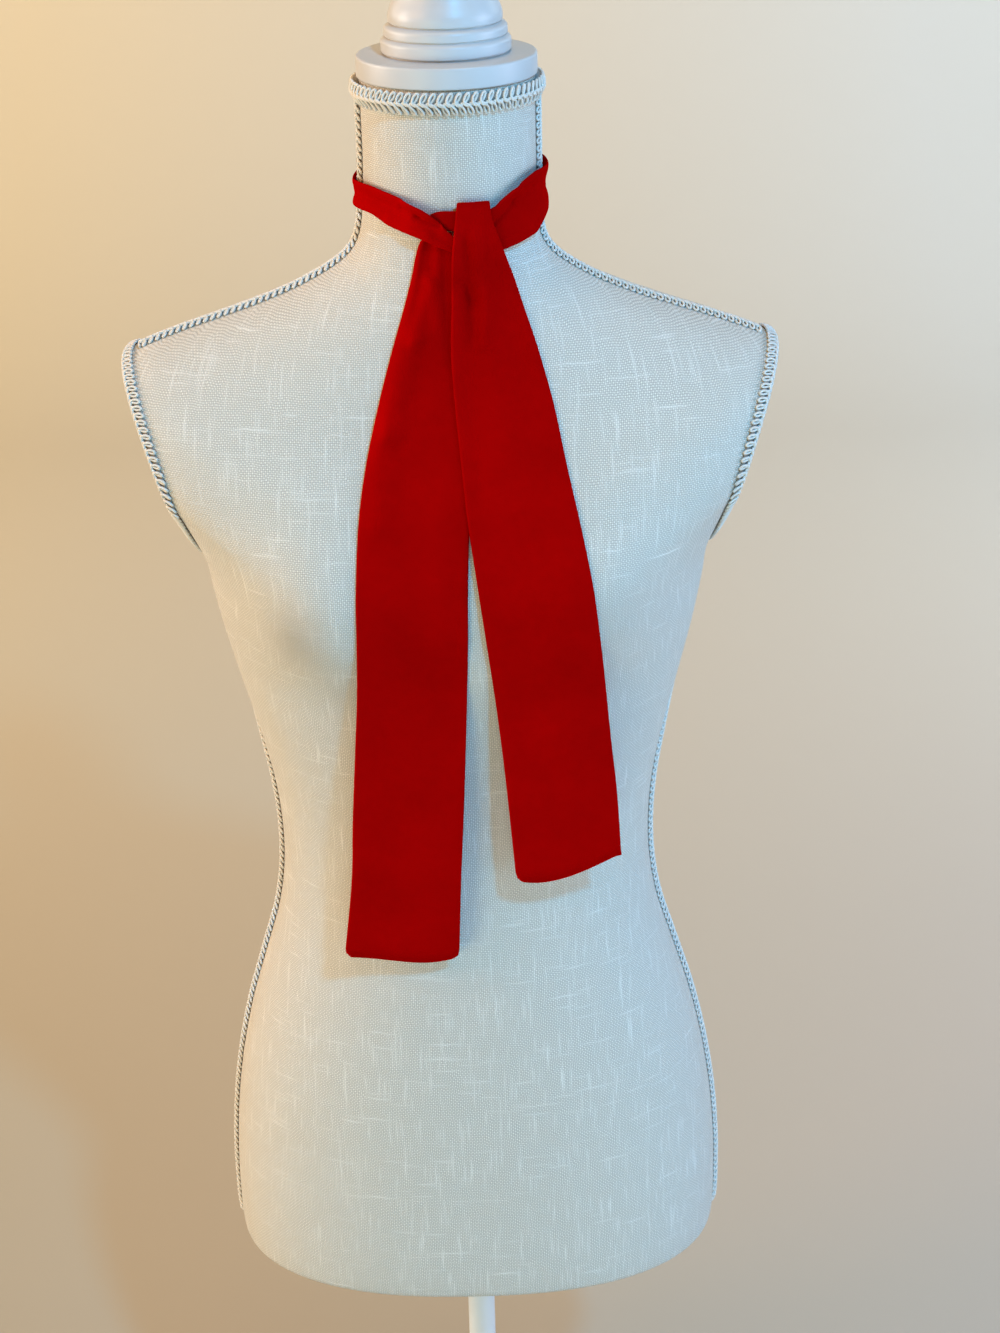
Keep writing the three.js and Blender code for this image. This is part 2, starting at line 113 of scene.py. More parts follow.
def closedVolume(points, corners, sizes):
    # a closed skin's volume is the sum of its triangles' pyramids to the origin
    starts = np.cumsum(sizes) - sizes
    total = 0.0
    for a, b in ((1, 2), (2, 3)):
        use = sizes > b
        tri = points[corners[np.stack([starts[use], starts[use] + a, starts[use] + b])]]
        total += np.einsum("ij,ij->i", tri[0], np.cross(tri[1], tri[2])).sum()
    return total


def makePiece(name, points, faces, maps=None, material=None, slot=None, extra=None, attributes=None):
    # points in millimetres from the rim; faces have four corners, extra faces have three and no map of their own
    mesh = bpy.data.meshes.new(name)
    points = np.asarray(points, float).reshape(-1, 3) * mm
    points[:, 2] += rimHeight * mm
    cells = [faces.ravel()] + ([extra.ravel()] if extra is not None else [])
    sizes = [np.full(len(faces), 4)] + ([np.full(len(extra), 3)] if extra is not None else [])
    corners, sizes = np.concatenate(cells), np.concatenate(sizes)
    mesh.vertices.add(len(points))
    mesh.vertices.foreach_set("co", points.ravel())
    mesh.loops.add(len(corners))
    mesh.loops.foreach_set("vertex_index", corners.astype(np.int32))
    mesh.polygons.add(len(sizes))
    mesh.polygons.foreach_set("loop_start", (np.cumsum(sizes) - sizes).astype(np.int32))
    mesh.polygons.foreach_set("use_smooth", np.ones(len(sizes), bool))
    if maps is not None:
        layer = mesh.uv_layers.new(name="clothMap")
        flat = np.zeros((len(corners), 2))
        flat[:maps.size // 2] = maps.reshape(-1, 2)
        layer.data.foreach_set("uv", flat.ravel())
    for key, values in (attributes or {}).items():
        mesh.attributes.new(key, "FLOAT", "POINT").data.foreach_set("value", np.asarray(values, float).ravel())
    mesh.update(calc_edges=True)
    mesh.validate()
    if closedVolume(points, corners, sizes) < 0:
        mesh.flip_normals()
    piece = bpy.data.objects.new(name, mesh)
    bpy.context.scene.collection.objects.link(piece)
    if material is not None:
        mesh.materials.append(material)
    if slot is not None:
        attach(piece, "root")
    return piece


def capFans(rows, columns):
    # both open ends of a row of rings close on one middle point each, put after the grid's points
    j = np.arange(columns)
    right = (j + 1) % columns
    low = np.stack([right, j, np.full(columns, rows * columns)], -1)
    last = (rows - 1) * columns
    high = np.stack([last + j, last + right, np.full(columns, rows * columns + 1)], -1)
    return np.concatenate([low, high])


def turnedPiece(name, profile, material, slot, segments, shift=0):
    # a profile of radius and height carried round the upright axis, both ends closed on the axis
    turn = np.linspace(0, 2 * pi, segments, endpoint=False)
    wall = profile[1:-1]
    radius, height = wall[:, :1], wall[:, 1:]
    rows = len(wall)
    ring = np.stack([shift + radius * np.cos(turn), radius * np.sin(turn),
                     np.broadcast_to(height, (rows, segments))], -1)
    ends = [[shift, 0, profile[0, 1]], [shift, 0, profile[-1, 1]]]
    points = np.concatenate([ring.reshape(-1, 3), ends])
    across, along = np.broadcast_arrays(turn * profile[:, 0].max() * mm, walkedAlong(wall)[:, None] * mm)
    hollow = np.concatenate([np.repeat(grooveDepth(wall), segments), [0, 0]])
    return makePiece(name, points, gridFaces(rows, segments, loopColumns=True),
                     gridMaps(across, along, loopColumns=True), material, slot,
                     extra=capFans(rows, segments), attributes={"groove": hollow})


def grooveDepth(profile):
    # the sine of the bend inwards between three points back and three points ahead: 0 on the profile's beads
    reach = 3
    back, ahead = np.roll(profile, reach, 0), np.roll(profile, -reach, 0)
    back[:reach], ahead[-reach:] = profile[0], profile[-1]
    a, b = profile - back, ahead - profile
    turnIn = -(a[:, 0] * b[:, 1] - a[:, 1] * b[:, 0])
    size = np.maximum(np.hypot(*a.T) * np.hypot(*b.T), 1e-6)
    return np.clip(turnIn / size, 0, 1)


def roundedProfile(corners, steps=7):
    # each corner (radius, height, rounding) becomes a small curve (a quadratic Bezier) between the points that
    # lie its rounding away down both its sides, but never past the middle of a side
    sharp, half = 0.05, 0.49
    line = [corners[0][:2]]
    for first, here, last in zip(corners, corners[1:], corners[2:]):
        p, q, r = (np.array(c[:2], float) for c in (first, here, last))
        before, after = np.linalg.norm(q - p), np.linalg.norm(r - q)
        reach = min(here[2], before * half, after * half)
        a, b = q + (p - q) / before * reach, q + (r - q) / after * reach
        for share in np.linspace(0, 1, steps if reach > sharp else 1):
            line.append((1 - share)**2 * a + 2 * share * (1 - share) * q + share**2 * b)
    line.append(corners[-1][:2])
    return np.array(line, float)


# Shader groups that several finishes share

def makeGroup(name, inputs, outputs):
    group = bpy.data.node_groups.new(name, "ShaderNodeTree")
    for label, kind, value in inputs:
        socket = group.interface.new_socket(name=label, in_out="INPUT", socket_type=kind)
        if value is not None:
            socket.default_value = value
    for label, kind in outputs:
        group.interface.new_socket(name=label, in_out="OUTPUT", socket_type=kind)
    return group, group.nodes.new("NodeGroupInput"), group.nodes.new("NodeGroupOutput")


def feed(tree, socket, value):
    # a link from another node's socket, or a plain value; a colour of three values is made opaque
    if isinstance(value, bpy.types.NodeSocket):
        tree.links.new(value, socket)
    elif socket.type == "RGBA" and len(value) == 3:
        socket.default_value = (*value, 1)
    else:
        socket.default_value = value


def addNode(tree, kind, inputs=None, **settings):
    node = tree.nodes.new(kind)
    for key, value in settings.items():
        setattr(node, key, value)
    for key, value in (inputs or {}).items():
        feed(tree, node.inputs[key], value)
    return node


def mathNode(tree, operation, *values, clamped=False):
    node = addNode(tree, "ShaderNodeMath", dict(enumerate(values)), operation=operation, use_clamp=clamped)
    return node.outputs[0]


def times(tree, a, b):
    return mathNode(tree, "MULTIPLY", a, b)


def plus(tree, a, b, clamped=False):
    return mathNode(tree, "ADD", a, b, clamped=clamped)


def ranged(tree, value, given=(0, 1), wanted=(0, 1)):
    # a straight line from the given ends to the wanted ends, held at both
    ends = {"From Min": given[0], "From Max": given[1], "To Min": wanted[0], "To Max": wanted[1]}
    return addNode(tree, "ShaderNodeMapRange", {"Value": value, **ends}).outputs[0]


def mixColours(tree, factor, a, b):
    return addNode(tree, "ShaderNodeMix", {0: factor, 6: a, 7: b}, data_type="RGBA").outputs[2]


def weaveGroup():
    # a plain weave on a flat map: every crossing is a small hump (sine times sine), and every other one stands
    # higher, like the squares of a chessboard; each thread swells and thins along its own length (slubs)
    threadNoise = {"spread": (34.0, 26.0), "apart": 5.37, "axisShift": 3.7, "start": (0.57, 0.64), "end": 0.86}
    hump, higher, slubRise, gapPower, waverScale, waverReach = 0.6, 0.2, 0.35, 1.5, 110.0, 6.0
    group, given, out = makeGroup(
        "plainWeave",
        [("Map", "NodeSocketVector", None), ("Threads", "NodeSocketFloat", 700.0),
         ("Slubs", "NodeSocketFloat", 1.0), ("Wobble", "NodeSocketFloat", 0.3)],
        [("Height", "NodeSocketFloat"), ("Slub", "NodeSocketFloat"), ("Gap", "NodeSocketFloat")])
    flatMap, threads, slubAmount, wobble = given.outputs[:4]
    place = addNode(group, "ShaderNodeSeparateXYZ", {0: flatMap}).outputs
    waver = addNode(group, "ShaderNodeTexNoise", {"Vector": flatMap, "Scale": waverScale, "Detail": 2.0})
    drift = times(group, mathNode(group, "SUBTRACT", waver.outputs["Fac"], 0.5), times(group, wobble, waverReach))
    waves, slubs = [], []
    for axis in (0, 1):
        count = plus(group, times(group, place[axis], threads), drift)
        waves.append(mathNode(group, "SINE", times(group, count, pi)))
        own = addNode(group, "ShaderNodeCombineXYZ", {
            0: times(group, mathNode(group, "FLOOR", count), threadNoise["apart"]),
            1: times(group, place[1 - axis], threadNoise["spread"][axis]), 2: threadNoise["axisShift"] * axis})
        streak = addNode(group, "ShaderNodeTexNoise", {"Vector": own.outputs[0], "Scale": 1.0, "Detail": 1.0})
        slubs.append(ranged(group, streak.outputs["Fac"], (threadNoise["start"][axis], threadNoise["end"])))
    over = times(group, *waves)
    tops = plus(group, times(group, mathNode(group, "ABSOLUTE", over), hump),
                times(group, plus(group, over, 1.0), higher))
    slub = times(group, mathNode(group, "MAXIMUM", *slubs), slubAmount)
    height = plus(group, tops, times(group, slub, slubRise))
    gap = mathNode(group, "POWER", mathNode(group, "SUBTRACT", 1.0, tops, clamped=True), gapPower)
    for label, value in (("Height", height), ("Slub", slub), ("Gap", gap)):
        group.links.new(value, out.inputs[label])
    return group


def unevenGroup():
    # soft patches: broad noise and a share of finer noise added up, spread about 0.5 by the amount
    broadShare, fineShare, finer = 0.7, 0.3, 7.0
    group, given, out = makeGroup(
        "unevenTone",
        [("Place", "NodeSocketVector", None), ("Size", "NodeSocketFloat", 12.0),
         ("Amount", "NodeSocketFloat", 0.5)],
        [("Tone", "NodeSocketFloat")])
    place, size, amount = given.outputs[:3]
    broad = addNode(group, "ShaderNodeTexNoise", {"Vector": place, "Scale": size, "Detail": 3.0})
    fine = addNode(group, "ShaderNodeTexNoise", {
        "Vector": place, "Scale": times(group, size, finer), "Detail": 2.0})
    both = plus(group, times(group, broad.outputs["Fac"], broadShare), times(group, fine.outputs["Fac"], fineShare))
    spread = times(group, mathNode(group, "SUBTRACT", both, 0.5), amount)
    group.links.new(plus(group, 0.5, spread, clamped=True), out.inputs["Tone"])
    return group


def twistGroup():
    # yarn twisted into a cord: the size of a sine whose phase runs along the strand and twice round it
    group, given, out = makeGroup(
        "yarnTwist",
        [("Map", "NodeSocketVector", None), ("Twists", "NodeSocketFloat", 900.0)],
        [("Height", "NodeSocketFloat")])
    flatMap, twists = given.outputs[:2]
    place = addNode(group, "ShaderNodeSeparateXYZ", {0: flatMap}).outputs
    phase = plus(group, times(group, place[1], twists), times(group, place[0], 2.0))
    ridge = mathNode(group, "ABSOLUTE", mathNode(group, "SINE", times(group, phase, pi)))
    group.links.new(ridge, out.inputs["Height"])
    return group


weave, uneven, twist = weaveGroup(), unevenGroup(), twistGroup()


def startMaterial(name, colour, roughness, constants=None):
    material = bpy.data.materials.new(name)
    material.use_nodes = True
    tree = material.node_tree
    shader = tree.nodes["Principled BSDF"]
    for label, value in {"Base Color": colour, "Roughness": roughness, **(constants or {})}.items():
        feed(tree, shader.inputs[label], value)
    material.diffuse_color = (*colour, 1)
    return material, tree, shader


def placeGroup(tree, group, inputs):
    return addNode(tree, "ShaderNodeGroup", inputs, node_tree=group).outputs


def patchTone(tree, place, size, amount):
    return placeGroup(tree, uneven, {"Place": place, "Size": size, "Amount": amount})["Tone"]


def flatMapOf(tree):
    return addNode(tree, "ShaderNodeUVMap", uv_map="clothMap").outputs[0]


def placeOf(tree):
    return addNode(tree, "ShaderNodeTexCoord").outputs["Object"]


def maskOf(tree, name):
    # a value kept at the piece's points
    return addNode(tree, "ShaderNodeAttribute", attribute_name=name).outputs["Fac"]


def addBump(tree, shader, height, strength, distance, below=None):
    inputs = {"Height": height, "Strength": strength, "Distance": distance}
    if below is not None:
        inputs["Normal"] = below
    bump = addNode(tree, "ShaderNodeBump", inputs)
    tree.links.new(bump.outputs[0], shader.inputs["Normal"])


linenLook = {
    "thread": (0.82, 0.78, 0.69), "gap": (0.18, 0.163, 0.13), "slub": (0.86, 0.84, 0.78),
    "aged": (0.56, 0.50, 0.40), "groundAndShade": (0.36, 0.34, 0.29),
    "slubShare": 0.55, "agedShare": 0.18, "roughness": 0.92,
    "constants": {"Sheen Weight": 0.08, "Specular IOR Level": 0.25},
    "threadsPerMetre": 860.0, "wobble": 0.35, "patchSize": 9.0, "patchAmount": 1.0,
    "bump": 0.7, "relief": 0.0005,
}


def linenMaterial(look):
    # woven threads over dark gaps, paler slubs, aged patches, and a darker patch on the bust: the ground of the
    # pulled-open weave and painted shade
    material, tree, shader = startMaterial("slubbed linen", look["thread"], look["roughness"], look["constants"])
    woven = placeGroup(tree, weave, {
        "Map": flatMapOf(tree), "Threads": look["threadsPerMetre"], "Wobble": look["wobble"]})
    patchy = patchTone(tree, placeOf(tree), look["patchSize"], look["patchAmount"])
    colour = mixColours(tree, woven["Gap"], look["thread"], look["gap"])
    colour = mixColours(tree, times(tree, woven["Slub"], look["slubShare"]), colour, look["slub"])
    colour = mixColours(tree, times(tree, patchy, look["agedShare"]), colour, look["aged"])
    # painted shade on the bust, mixed with the darker ground of the open weave
    colour = mixColours(tree, maskOf(tree, "stretchAndShade"), colour, look["groundAndShade"])
    tree.links.new(colour, shader.inputs["Base Color"])
    addBump(tree, shader, woven["Height"], look["bump"], look["relief"])
    return material


silkLook = {
    "red": (0.365, 0.0005, 0.0007), "deep": (0.27, 0.0004, 0.0005), "patchSize": 26.0, "patchAmount": 1.6,
    "roughness": 0.5, "roughEnds": (0.44, 0.58),
    "constants": {"Sheen Weight": 0.4, "Sheen Roughness": 0.3, "Sheen Tint": (1.0, 0.0, 0.0),
                  "Specular IOR Level": 0.0},
    "threadsPerMetre": 2400.0, "slubs": 0.2, "weaveBump": 0.12, "weaveRelief": 0.00008,
    "rumpleScale": 42.0, "rumpleBump": 0.2, "rumpleRelief": 0.003,
}


def silkMaterial(look):
    # two reds in soft patches, a fine weave, and small rumples under it
    material, tree, shader = startMaterial("red silk", look["red"], look["roughness"], look["constants"])
    place = placeOf(tree)
    woven = placeGroup(tree, weave, {
        "Map": flatMapOf(tree), "Threads": look["threadsPerMetre"], "Slubs": look["slubs"]})
    patchy = patchTone(tree, place, look["patchSize"], look["patchAmount"])
    tree.links.new(mixColours(tree, patchy, look["red"], look["deep"]), shader.inputs["Base Color"])
    tree.links.new(ranged(tree, patchy, wanted=look["roughEnds"]), shader.inputs["Roughness"])
    soft = addNode(tree, "ShaderNodeTexNoise", {"Vector": place, "Scale": look["rumpleScale"], "Detail": 2.0})
    rumple = addNode(tree, "ShaderNodeBump", {
        "Height": soft.outputs["Fac"], "Strength": look["rumpleBump"], "Distance": look["rumpleRelief"]})
    addBump(tree, shader, woven["Height"], look["weaveBump"], look["weaveRelief"], rumple.outputs[0])
    return material


braidLook = {
    "yarn": (0.68, 0.65, 0.585), "shade": (0.38, 0.345, 0.29), "aged": (0.55, 0.50, 0.40),
    "shadedTape": (0.26, 0.235, 0.20), "shadeShare": 0.6, "shadePower": 2.0, "agedShare": 0.2,
    "roughness": 0.7, "constants": {"Sheen Weight": 0.3},
    "twistsPerMetre": 1150.0, "patchSize": 30.0, "patchAmount": 1.0, "bump": 0.4, "relief": 0.00015,
}


def braidMaterial(look):
    # twisted yarn, with painted shade in the valleys of its twist, on a tape painted dark as shade under the loops
    material, tree, shader = startMaterial("braid yarn", look["yarn"], look["roughness"], look["constants"])
    ridge = placeGroup(tree, twist, {"Map": flatMapOf(tree), "Twists": look["twistsPerMetre"]})["Height"]
    patchy = patchTone(tree, placeOf(tree), look["patchSize"], look["patchAmount"])
    valley = mathNode(tree, "POWER", mathNode(tree, "SUBTRACT", 1.0, ridge), look["shadePower"])
    colour = mixColours(tree, times(tree, valley, look["shadeShare"]), look["yarn"], look["shade"])
    colour = mixColours(tree, times(tree, patchy, look["agedShare"]), colour, look["aged"])
    # painted shade: the tape under the loops is coloured dark in place of the shade there
    colour = mixColours(tree, maskOf(tree, "shadedTape"), colour, look["shadedTape"])
    tree.links.new(colour, shader.inputs["Base Color"])
    addBump(tree, shader, ridge, look["bump"], look["relief"])
    return material


paintLook = {
    "roughness": 0.4, "roughEnds": (0.34, 0.5), "constants": {"Coat Weight": 0.15, "Coat Roughness": 0.3},
    "patchSize": 26.0, "patchAmount": 1.2, "patchShare": 0.10, "grimeFloor": 0.15,
    "brushScale": (18.0, 18.0, 160.0), "brushBump": 0.10, "brushRelief": 0.0006,
    "cap": {"white": (0.50, 0.50, 0.495), "dirt": (0.36, 0.29, 0.20)},
    "stand": {"white": (0.68, 0.70, 0.71), "dirt": (0.42, 0.40, 0.36)},
}


def paintMaterial(part, look):
    # gloss paint with brush marks, a little wear in tone, and grime in the turned grooves
    white, dirt = look[part]["white"], look[part]["dirt"]
    material, tree, shader = startMaterial(f"gloss white {part} paint", white, look["roughness"], look["constants"])
    place = placeOf(tree)
    patchy = patchTone(tree, place, look["patchSize"], look["patchAmount"])
    grime = mathNode(tree, "MULTIPLY", maskOf(tree, "groove"), plus(tree, look["grimeFloor"], patchy), clamped=True)
    worn = mixColours(tree, times(tree, patchy, look["patchShare"]), white, dirt)
    tree.links.new(mixColours(tree, grime, worn, dirt), shader.inputs["Base Color"])
    tree.links.new(ranged(tree, patchy, wanted=look["roughEnds"]), shader.inputs["Roughness"])
    spread = addNode(tree, "ShaderNodeMapping", {"Vector": place, "Scale": look["brushScale"]})
    marks = addNode(tree, "ShaderNodeTexNoise", {"Vector": spread.outputs[0], "Scale": 1.0, "Detail": 3.0})
    addBump(tree, shader, marks.outputs["Fac"], look["brushBump"], look["brushRelief"])
    return material


linen, silk, yarnCord = linenMaterial(linenLook), silkMaterial(silkLook), braidMaterial(braidLook)
capPaint, standPaint = paintMaterial("cap", paintLook), paintMaterial("stand", paintLook)
print("finishes made")


# The torso

torsoForm = {
    # half width and height at the sides, reach and height in front, the same at the back, and squareness
    "levels": [
        (50.5, 790, 50, 790, 50, 790, 2), (50.5, 765, 50, 765, 50, 765, 2), (50.5, 742, 50, 741, 51, 743, 2),
        (51, 720, 50.5, 717, 53, 722, 2), (52.5, 703, 52, 696, 56, 706, 2), (57, 691.5, 55, 679, 61, 693, 2),
        (67, 682, 59.5, 663, 67, 680, 2), (87, 670.5, 65, 645, 75, 664, 2.05),
        (111, 660.5, 71.5, 627, 83, 646, 2.1), (136, 652, 78.5, 609, 89, 628, 2.1),
        (162, 643.5, 86, 591, 94, 610, 2.1), (186, 634, 93.5, 573, 97, 592, 2.15),
        (200, 623, 100, 557, 99, 575, 2.2), (205, 608, 104, 541, 100, 558, 2.2),
        (203, 591, 107, 526, 100, 541, 2.2), (194, 572, 108.5, 511, 99, 524, 2.2),
        (179, 551, 109, 497, 98, 508, 2.2), (166, 529, 108, 482, 96, 491, 2.2),
        (156.2, 507, 107, 466, 94, 473, 2.2), (152.5, 484, 103, 448, 92, 453, 2.2),
        (147, 455, 98, 427, 89, 430, 2.2), (139, 421, 94, 400, 86, 402, 2.2),
        (129, 380, 90, 366, 83, 367, 2.15), (121.5, 338, 88, 332, 82, 332, 2.1),
        (119.5, 296, 88, 294, 84, 294, 2.1), (124, 257, 91, 256, 91, 256, 2.15),
        (135.5, 218, 95.5, 218, 101, 218, 2.2), (147, 180, 100, 180, 109, 180, 2.25),
        (156, 140, 104, 140, 115, 140, 2.3), (162, 100, 107, 100, 118, 100, 2.3),
        (165, 62, 109, 62, 118, 62, 2.35), (165.5, 30, 110, 30, 115, 30, 2.4),
        (165, 10, 109.5, 10, 114, 10, 2.4), (163, 2.5, 107.5, 2.5, 112, 2.5, 2.4),
        (156, 0, 101, 0, 105, 0, 2.4),
    ],
    "bust": {"x": 84, "z": 490, "reach": 20, "width": 44, "above": 58, "below": 42},
    "lean": {"shift": 3.2, "start": 640, "end": 750},
    "bustFade": 0.7,
    "armhole": {"x": 193.3, "z": 630, "slope": 0.43, "hollow": 0.00105, "endZ": 502, "endSlope": 3},
    # the underside closes in rings of these shares of the lower rim
    "base": (0.985, 0.97, 0.9, 0.6, 0.3, 0.1),
    "lines": 300, "columns": 256, "backMapShift": 1.3,
    # where the linen is pulled open over the bust, darkened as the ground shows through and as painted shade: x, z,
    # width, height, strength
    "stretchAndShade": [(-94, 484, 17, 22, 0.75), (86, 492, 20, 24, 0.38)],
}
lastLevel = len(torsoForm["levels"]) - 1


def leanAt(z):
    lean = torsoForm["lean"]
    return lean["shift"] * smooth(z, lean["start"], lean["end"])


def armholeX(z):
    # the flat armhole end: a straight slope in from the shoulder with a slight hollow; clear of the torso below
    arm = torsoForm["armhole"]
    drop = arm["z"] - np.maximum(z, arm["endZ"])
    return (arm["x"] - arm["slope"] * drop + arm["hollow"] * drop**2
            + np.maximum(arm["endZ"] - z, 0) * arm["endSlope"])


def bustReach(x, z):
    # two soft round swellings (bells of the distances across and up), taller above the middle than below it
    bust = torsoForm["bust"]
    tall = np.where(z > bust["z"], bust["above"], bust["below"])
    return bust["reach"] * np.exp(-((np.abs(x) - bust["x"]) / bust["width"])**2 - ((z - bust["z"]) / tall)**2)


def openTorso(place, turn):
    # a level line: a squared oval, whose height goes from the side's to the front's or back's with sine squared,
    # and the bust added to its front
    sideX, sideZ, frontY, frontZ, backY, backZ, square = rowsAt(torsoForm["levels"], place)
    c, s = np.cos(turn), np.sin(turn)
    x = np.sign(c) * sideX * np.abs(c)**(2 / square)
    y = np.sign(s) * np.where(s < 0, frontY, backY) * np.abs(s)**(2 / square)
    z = sideZ + (np.where(s < 0, frontZ, backZ) - sideZ) * s * s
    swell = np.where(s < 0, bustReach(x, z) * np.abs(s)**torsoForm["bustFade"], 0)
    return np.stack([x + leanAt(z), y - swell, z], -1)


def torsoSurface(place, turn):
    # the level lines cut off flat at the armholes
    point = openTorso(place, turn)
    limit = armholeX(point[..., 2])
    point[..., 0] = np.clip(point[..., 0], -limit, limit)
    return point


def bisect(low, high, rising, steps=34):
    # halves the stretch between low and high until rising turns true, for all points at once
    for _ in range(steps):
        middle = (low + high) / 2
        above = rising(middle)
        low, high = np.where(above, low, middle), np.where(above, middle, high)
    return (low + high) / 2


def frontReach(x, z):
    # how far the front reaches towards -Y: find the level line that has this height at this place across
    x, z = np.broadcast_arrays(np.asarray(x, float), np.asarray(z, float))
    across = np.abs(x - leanAt(z))

    def sineAt(row):
        return np.sqrt(1 - np.minimum((across / row[0])**row[6], 1))

    def below(place):
        row = rowsAt(torsoForm["levels"], place)
        return row[1] + (row[3] - row[1]) * sineAt(row)**2 < z

    row = rowsAt(torsoForm["levels"], bisect(np.zeros(x.shape), np.full(x.shape, float(lastLevel)), below))
    sine = sineAt(row)
    return row[2] * sine**(2 / row[6]) + bustReach(across, z) * sine**torsoForm["bustFade"]


def neckRadius(turn, z):
    # the neck's radius at a height, by turn from the front, found on the level line that has this height there
    turn, z = np.broadcast_arrays(np.asarray(turn, float), np.asarray(z, float))
    c, s, front = np.abs(np.sin(turn)), np.abs(np.cos(turn)), np.cos(turn) > 0

    def angleAt(row):
        return np.arctan2(s * row[0], c * np.where(front, row[2], row[4]))

    def below(place):
        row = rowsAt(torsoForm["levels"], place)
        return row[1] + (np.where(front, row[3], row[5]) - row[1]) * np.sin(angleAt(row))**2 < z

    row = rowsAt(torsoForm["levels"], bisect(np.zeros(z.shape), np.full(z.shape, float(lastLevel)), below))
    angle = angleAt(row)
    return np.hypot(row[0] * np.cos(angle), np.where(front, row[2], row[4]) * np.sin(angle))


def linenTorso():
    # front and back panels meet at the side seams; each panel's map runs out from its own middle line
    lines, columns = torsoForm["lines"], torsoForm["columns"]
    place = np.linspace(0, lastLevel, lines)[:, None]
    turn = np.linspace(-pi, pi, columns, endpoint=False)[None, :]
    ring = torsoSurface(place, turn)
    base = ring[-1:] * np.array(torsoForm["base"])[:, None, None]
    ring = np.concatenate([ring, base])
    rows = len(ring)
    centre = ring.mean(1)
    points = np.concatenate([ring.reshape(-1, 3), [centre[0], centre[-1]]])
    loop = np.concatenate([ring, ring[:, :1]], 1)
    step = np.hypot(*np.moveaxis(np.diff(loop[..., :2], axis=1), -1, 0))
    walked = np.concatenate([np.zeros((rows, 1)), np.cumsum(step, 1)], 1)
    half, quarter = columns // 2, columns // 4
    maps = []
    for start, shift in ((0, 0), (half, torsoForm["backMapShift"])):
        panel, middle = slice(start, start + half + 1), start + quarter
        across = (walked[:, panel] - walked[:, middle:middle + 1]) * mm + shift
        maps.append(gridMaps(across, loop[:, panel, 2] * mm).reshape(rows - 1, half, 4, 2))
    maps = np.concatenate(maps, 1).reshape(-1, 4, 2)
    # the bust's patch: partly pulled-open weave, partly painted shade
    stretchAndShade = np.zeros(len(points))
    for x, z, wide, tall, amount in torsoForm["stretchAndShade"]:
        front = points[:, 1] < 0
        stretchAndShade += front * amount * np.exp(-((points[:, 0] - x) / wide)**2 - ((points[:, 2] - z) / tall)**2)
    piece = makePiece("linenTorso", points, gridFaces(rows, columns, loopColumns=True), maps, linen, "linen",
                      extra=capFans(rows, columns), attributes={"stretchAndShade": stretchAndShade})
    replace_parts(piece, "form_torso")


linenTorso()
print("torso covered")


# Gimp braids: strands of yarn looped to and fro along a path on the form

def makePath(points, out, closed, upper=None, lower=None, upperOut=None, lowerOut=None):
    # a path with its outward direction; upper and lower say which way the braid's two rows spread from it
    if upper is None:
        upper = unit(np.cross(out, tangents(points, closed)))
        lower, upperOut, lowerOut = -upper, out, out
    lines = {"points": points, "out": out, "upper": upper, "lower": lower, "upperOut": upperOut,
             "lowerOut": lowerOut}
    if closed:
        lines = {key: np.concatenate([line, line[:1]]) for key, line in lines.items()}
    walked = walkedAlong(lines["points"])
    return {**lines, "walked": walked, "length": walked[-1], "closed": closed}


def onPath(path, along, across, height):
    # the path's point, moved sideways onto one row or the other, and outwards by height; the two sideways
    # moves blend into each other at the middle, each a curve (a hyperbola) from nothing to the whole distance
    blend = 1.5
    t = np.mod(along, path["length"]) if path["closed"] else np.clip(along, 0, path["length"])

    def pick(key):
        return np.stack([np.interp(t, path["walked"], path[key][:, k]) for k in range(3)], -1)

    up = (across + np.sqrt(across**2 + 1)) / 2 - 0.5
    down = (-across + np.sqrt(across**2 + 1)) / 2 - 0.5
    share = smooth(across, -blend, blend)[:, None]
    out = unit(pick("lowerOut") * (1 - share) + pick("upperOut") * share + 0.5 * pick("out"))
    point = pick("points") + pick("upper") * up[:, None] + pick("lower") * down[:, None] + out * height[:, None]
    return point, out


def sweptTube(ring, around, along, closed):
    # rings in a row made into a tube: looped back to its start, or closed by a fan at each end
    rows, sides = ring.shape[:2]
    faces, points = gridFaces(rows, sides, closed, True), ring.reshape(-1, 3)
    maps = gridMaps(*np.broadcast_arrays(around, along), closed, True)
    if closed:
        return points, faces, maps, np.zeros((0, 3), int)
    return np.concatenate([points, ring[[0, -1]].mean(1)]), faces, maps, capFans(rows, sides)


def strand(points, out, radius, sides, closed):
    # a round section carried along the strand's points
    tangent = tangents(points, closed)
    side = unit(np.cross(tangent, out) + 1e-6)
    up = np.cross(side, tangent)
    turn = np.linspace(0, 2 * pi, sides, endpoint=False)
    ring = (points[:, None] + side[:, None] * (np.cos(turn) * radius)[None, :, None]
            + up[:, None] * (np.sin(turn) * radius)[None, :, None])
    return sweptTube(ring, np.linspace(0, 1, sides, endpoint=False)[None, :],
                     walkedAlong(points)[:, None] * mm, closed)


def joinStrands(name, strands, slot):
    # one mesh of all the strands; the first is the tape that the others lie on
    points, faces, maps, fans = zip(*strands)
    starts = np.cumsum([0] + [len(p) for p in points])
    faces, fans = (np.concatenate([part + start for part, start in zip(parts, starts)]) for parts in (faces, fans))
    # marks the tape's points, which get painted shade
    onTape = (np.arange(starts[-1]) < starts[1]).astype(float)
    return makePiece(name, np.concatenate(points), faces, np.concatenate(maps), yarnCord, slot,
                     extra=fans, attributes={"shadedTape": onTape})


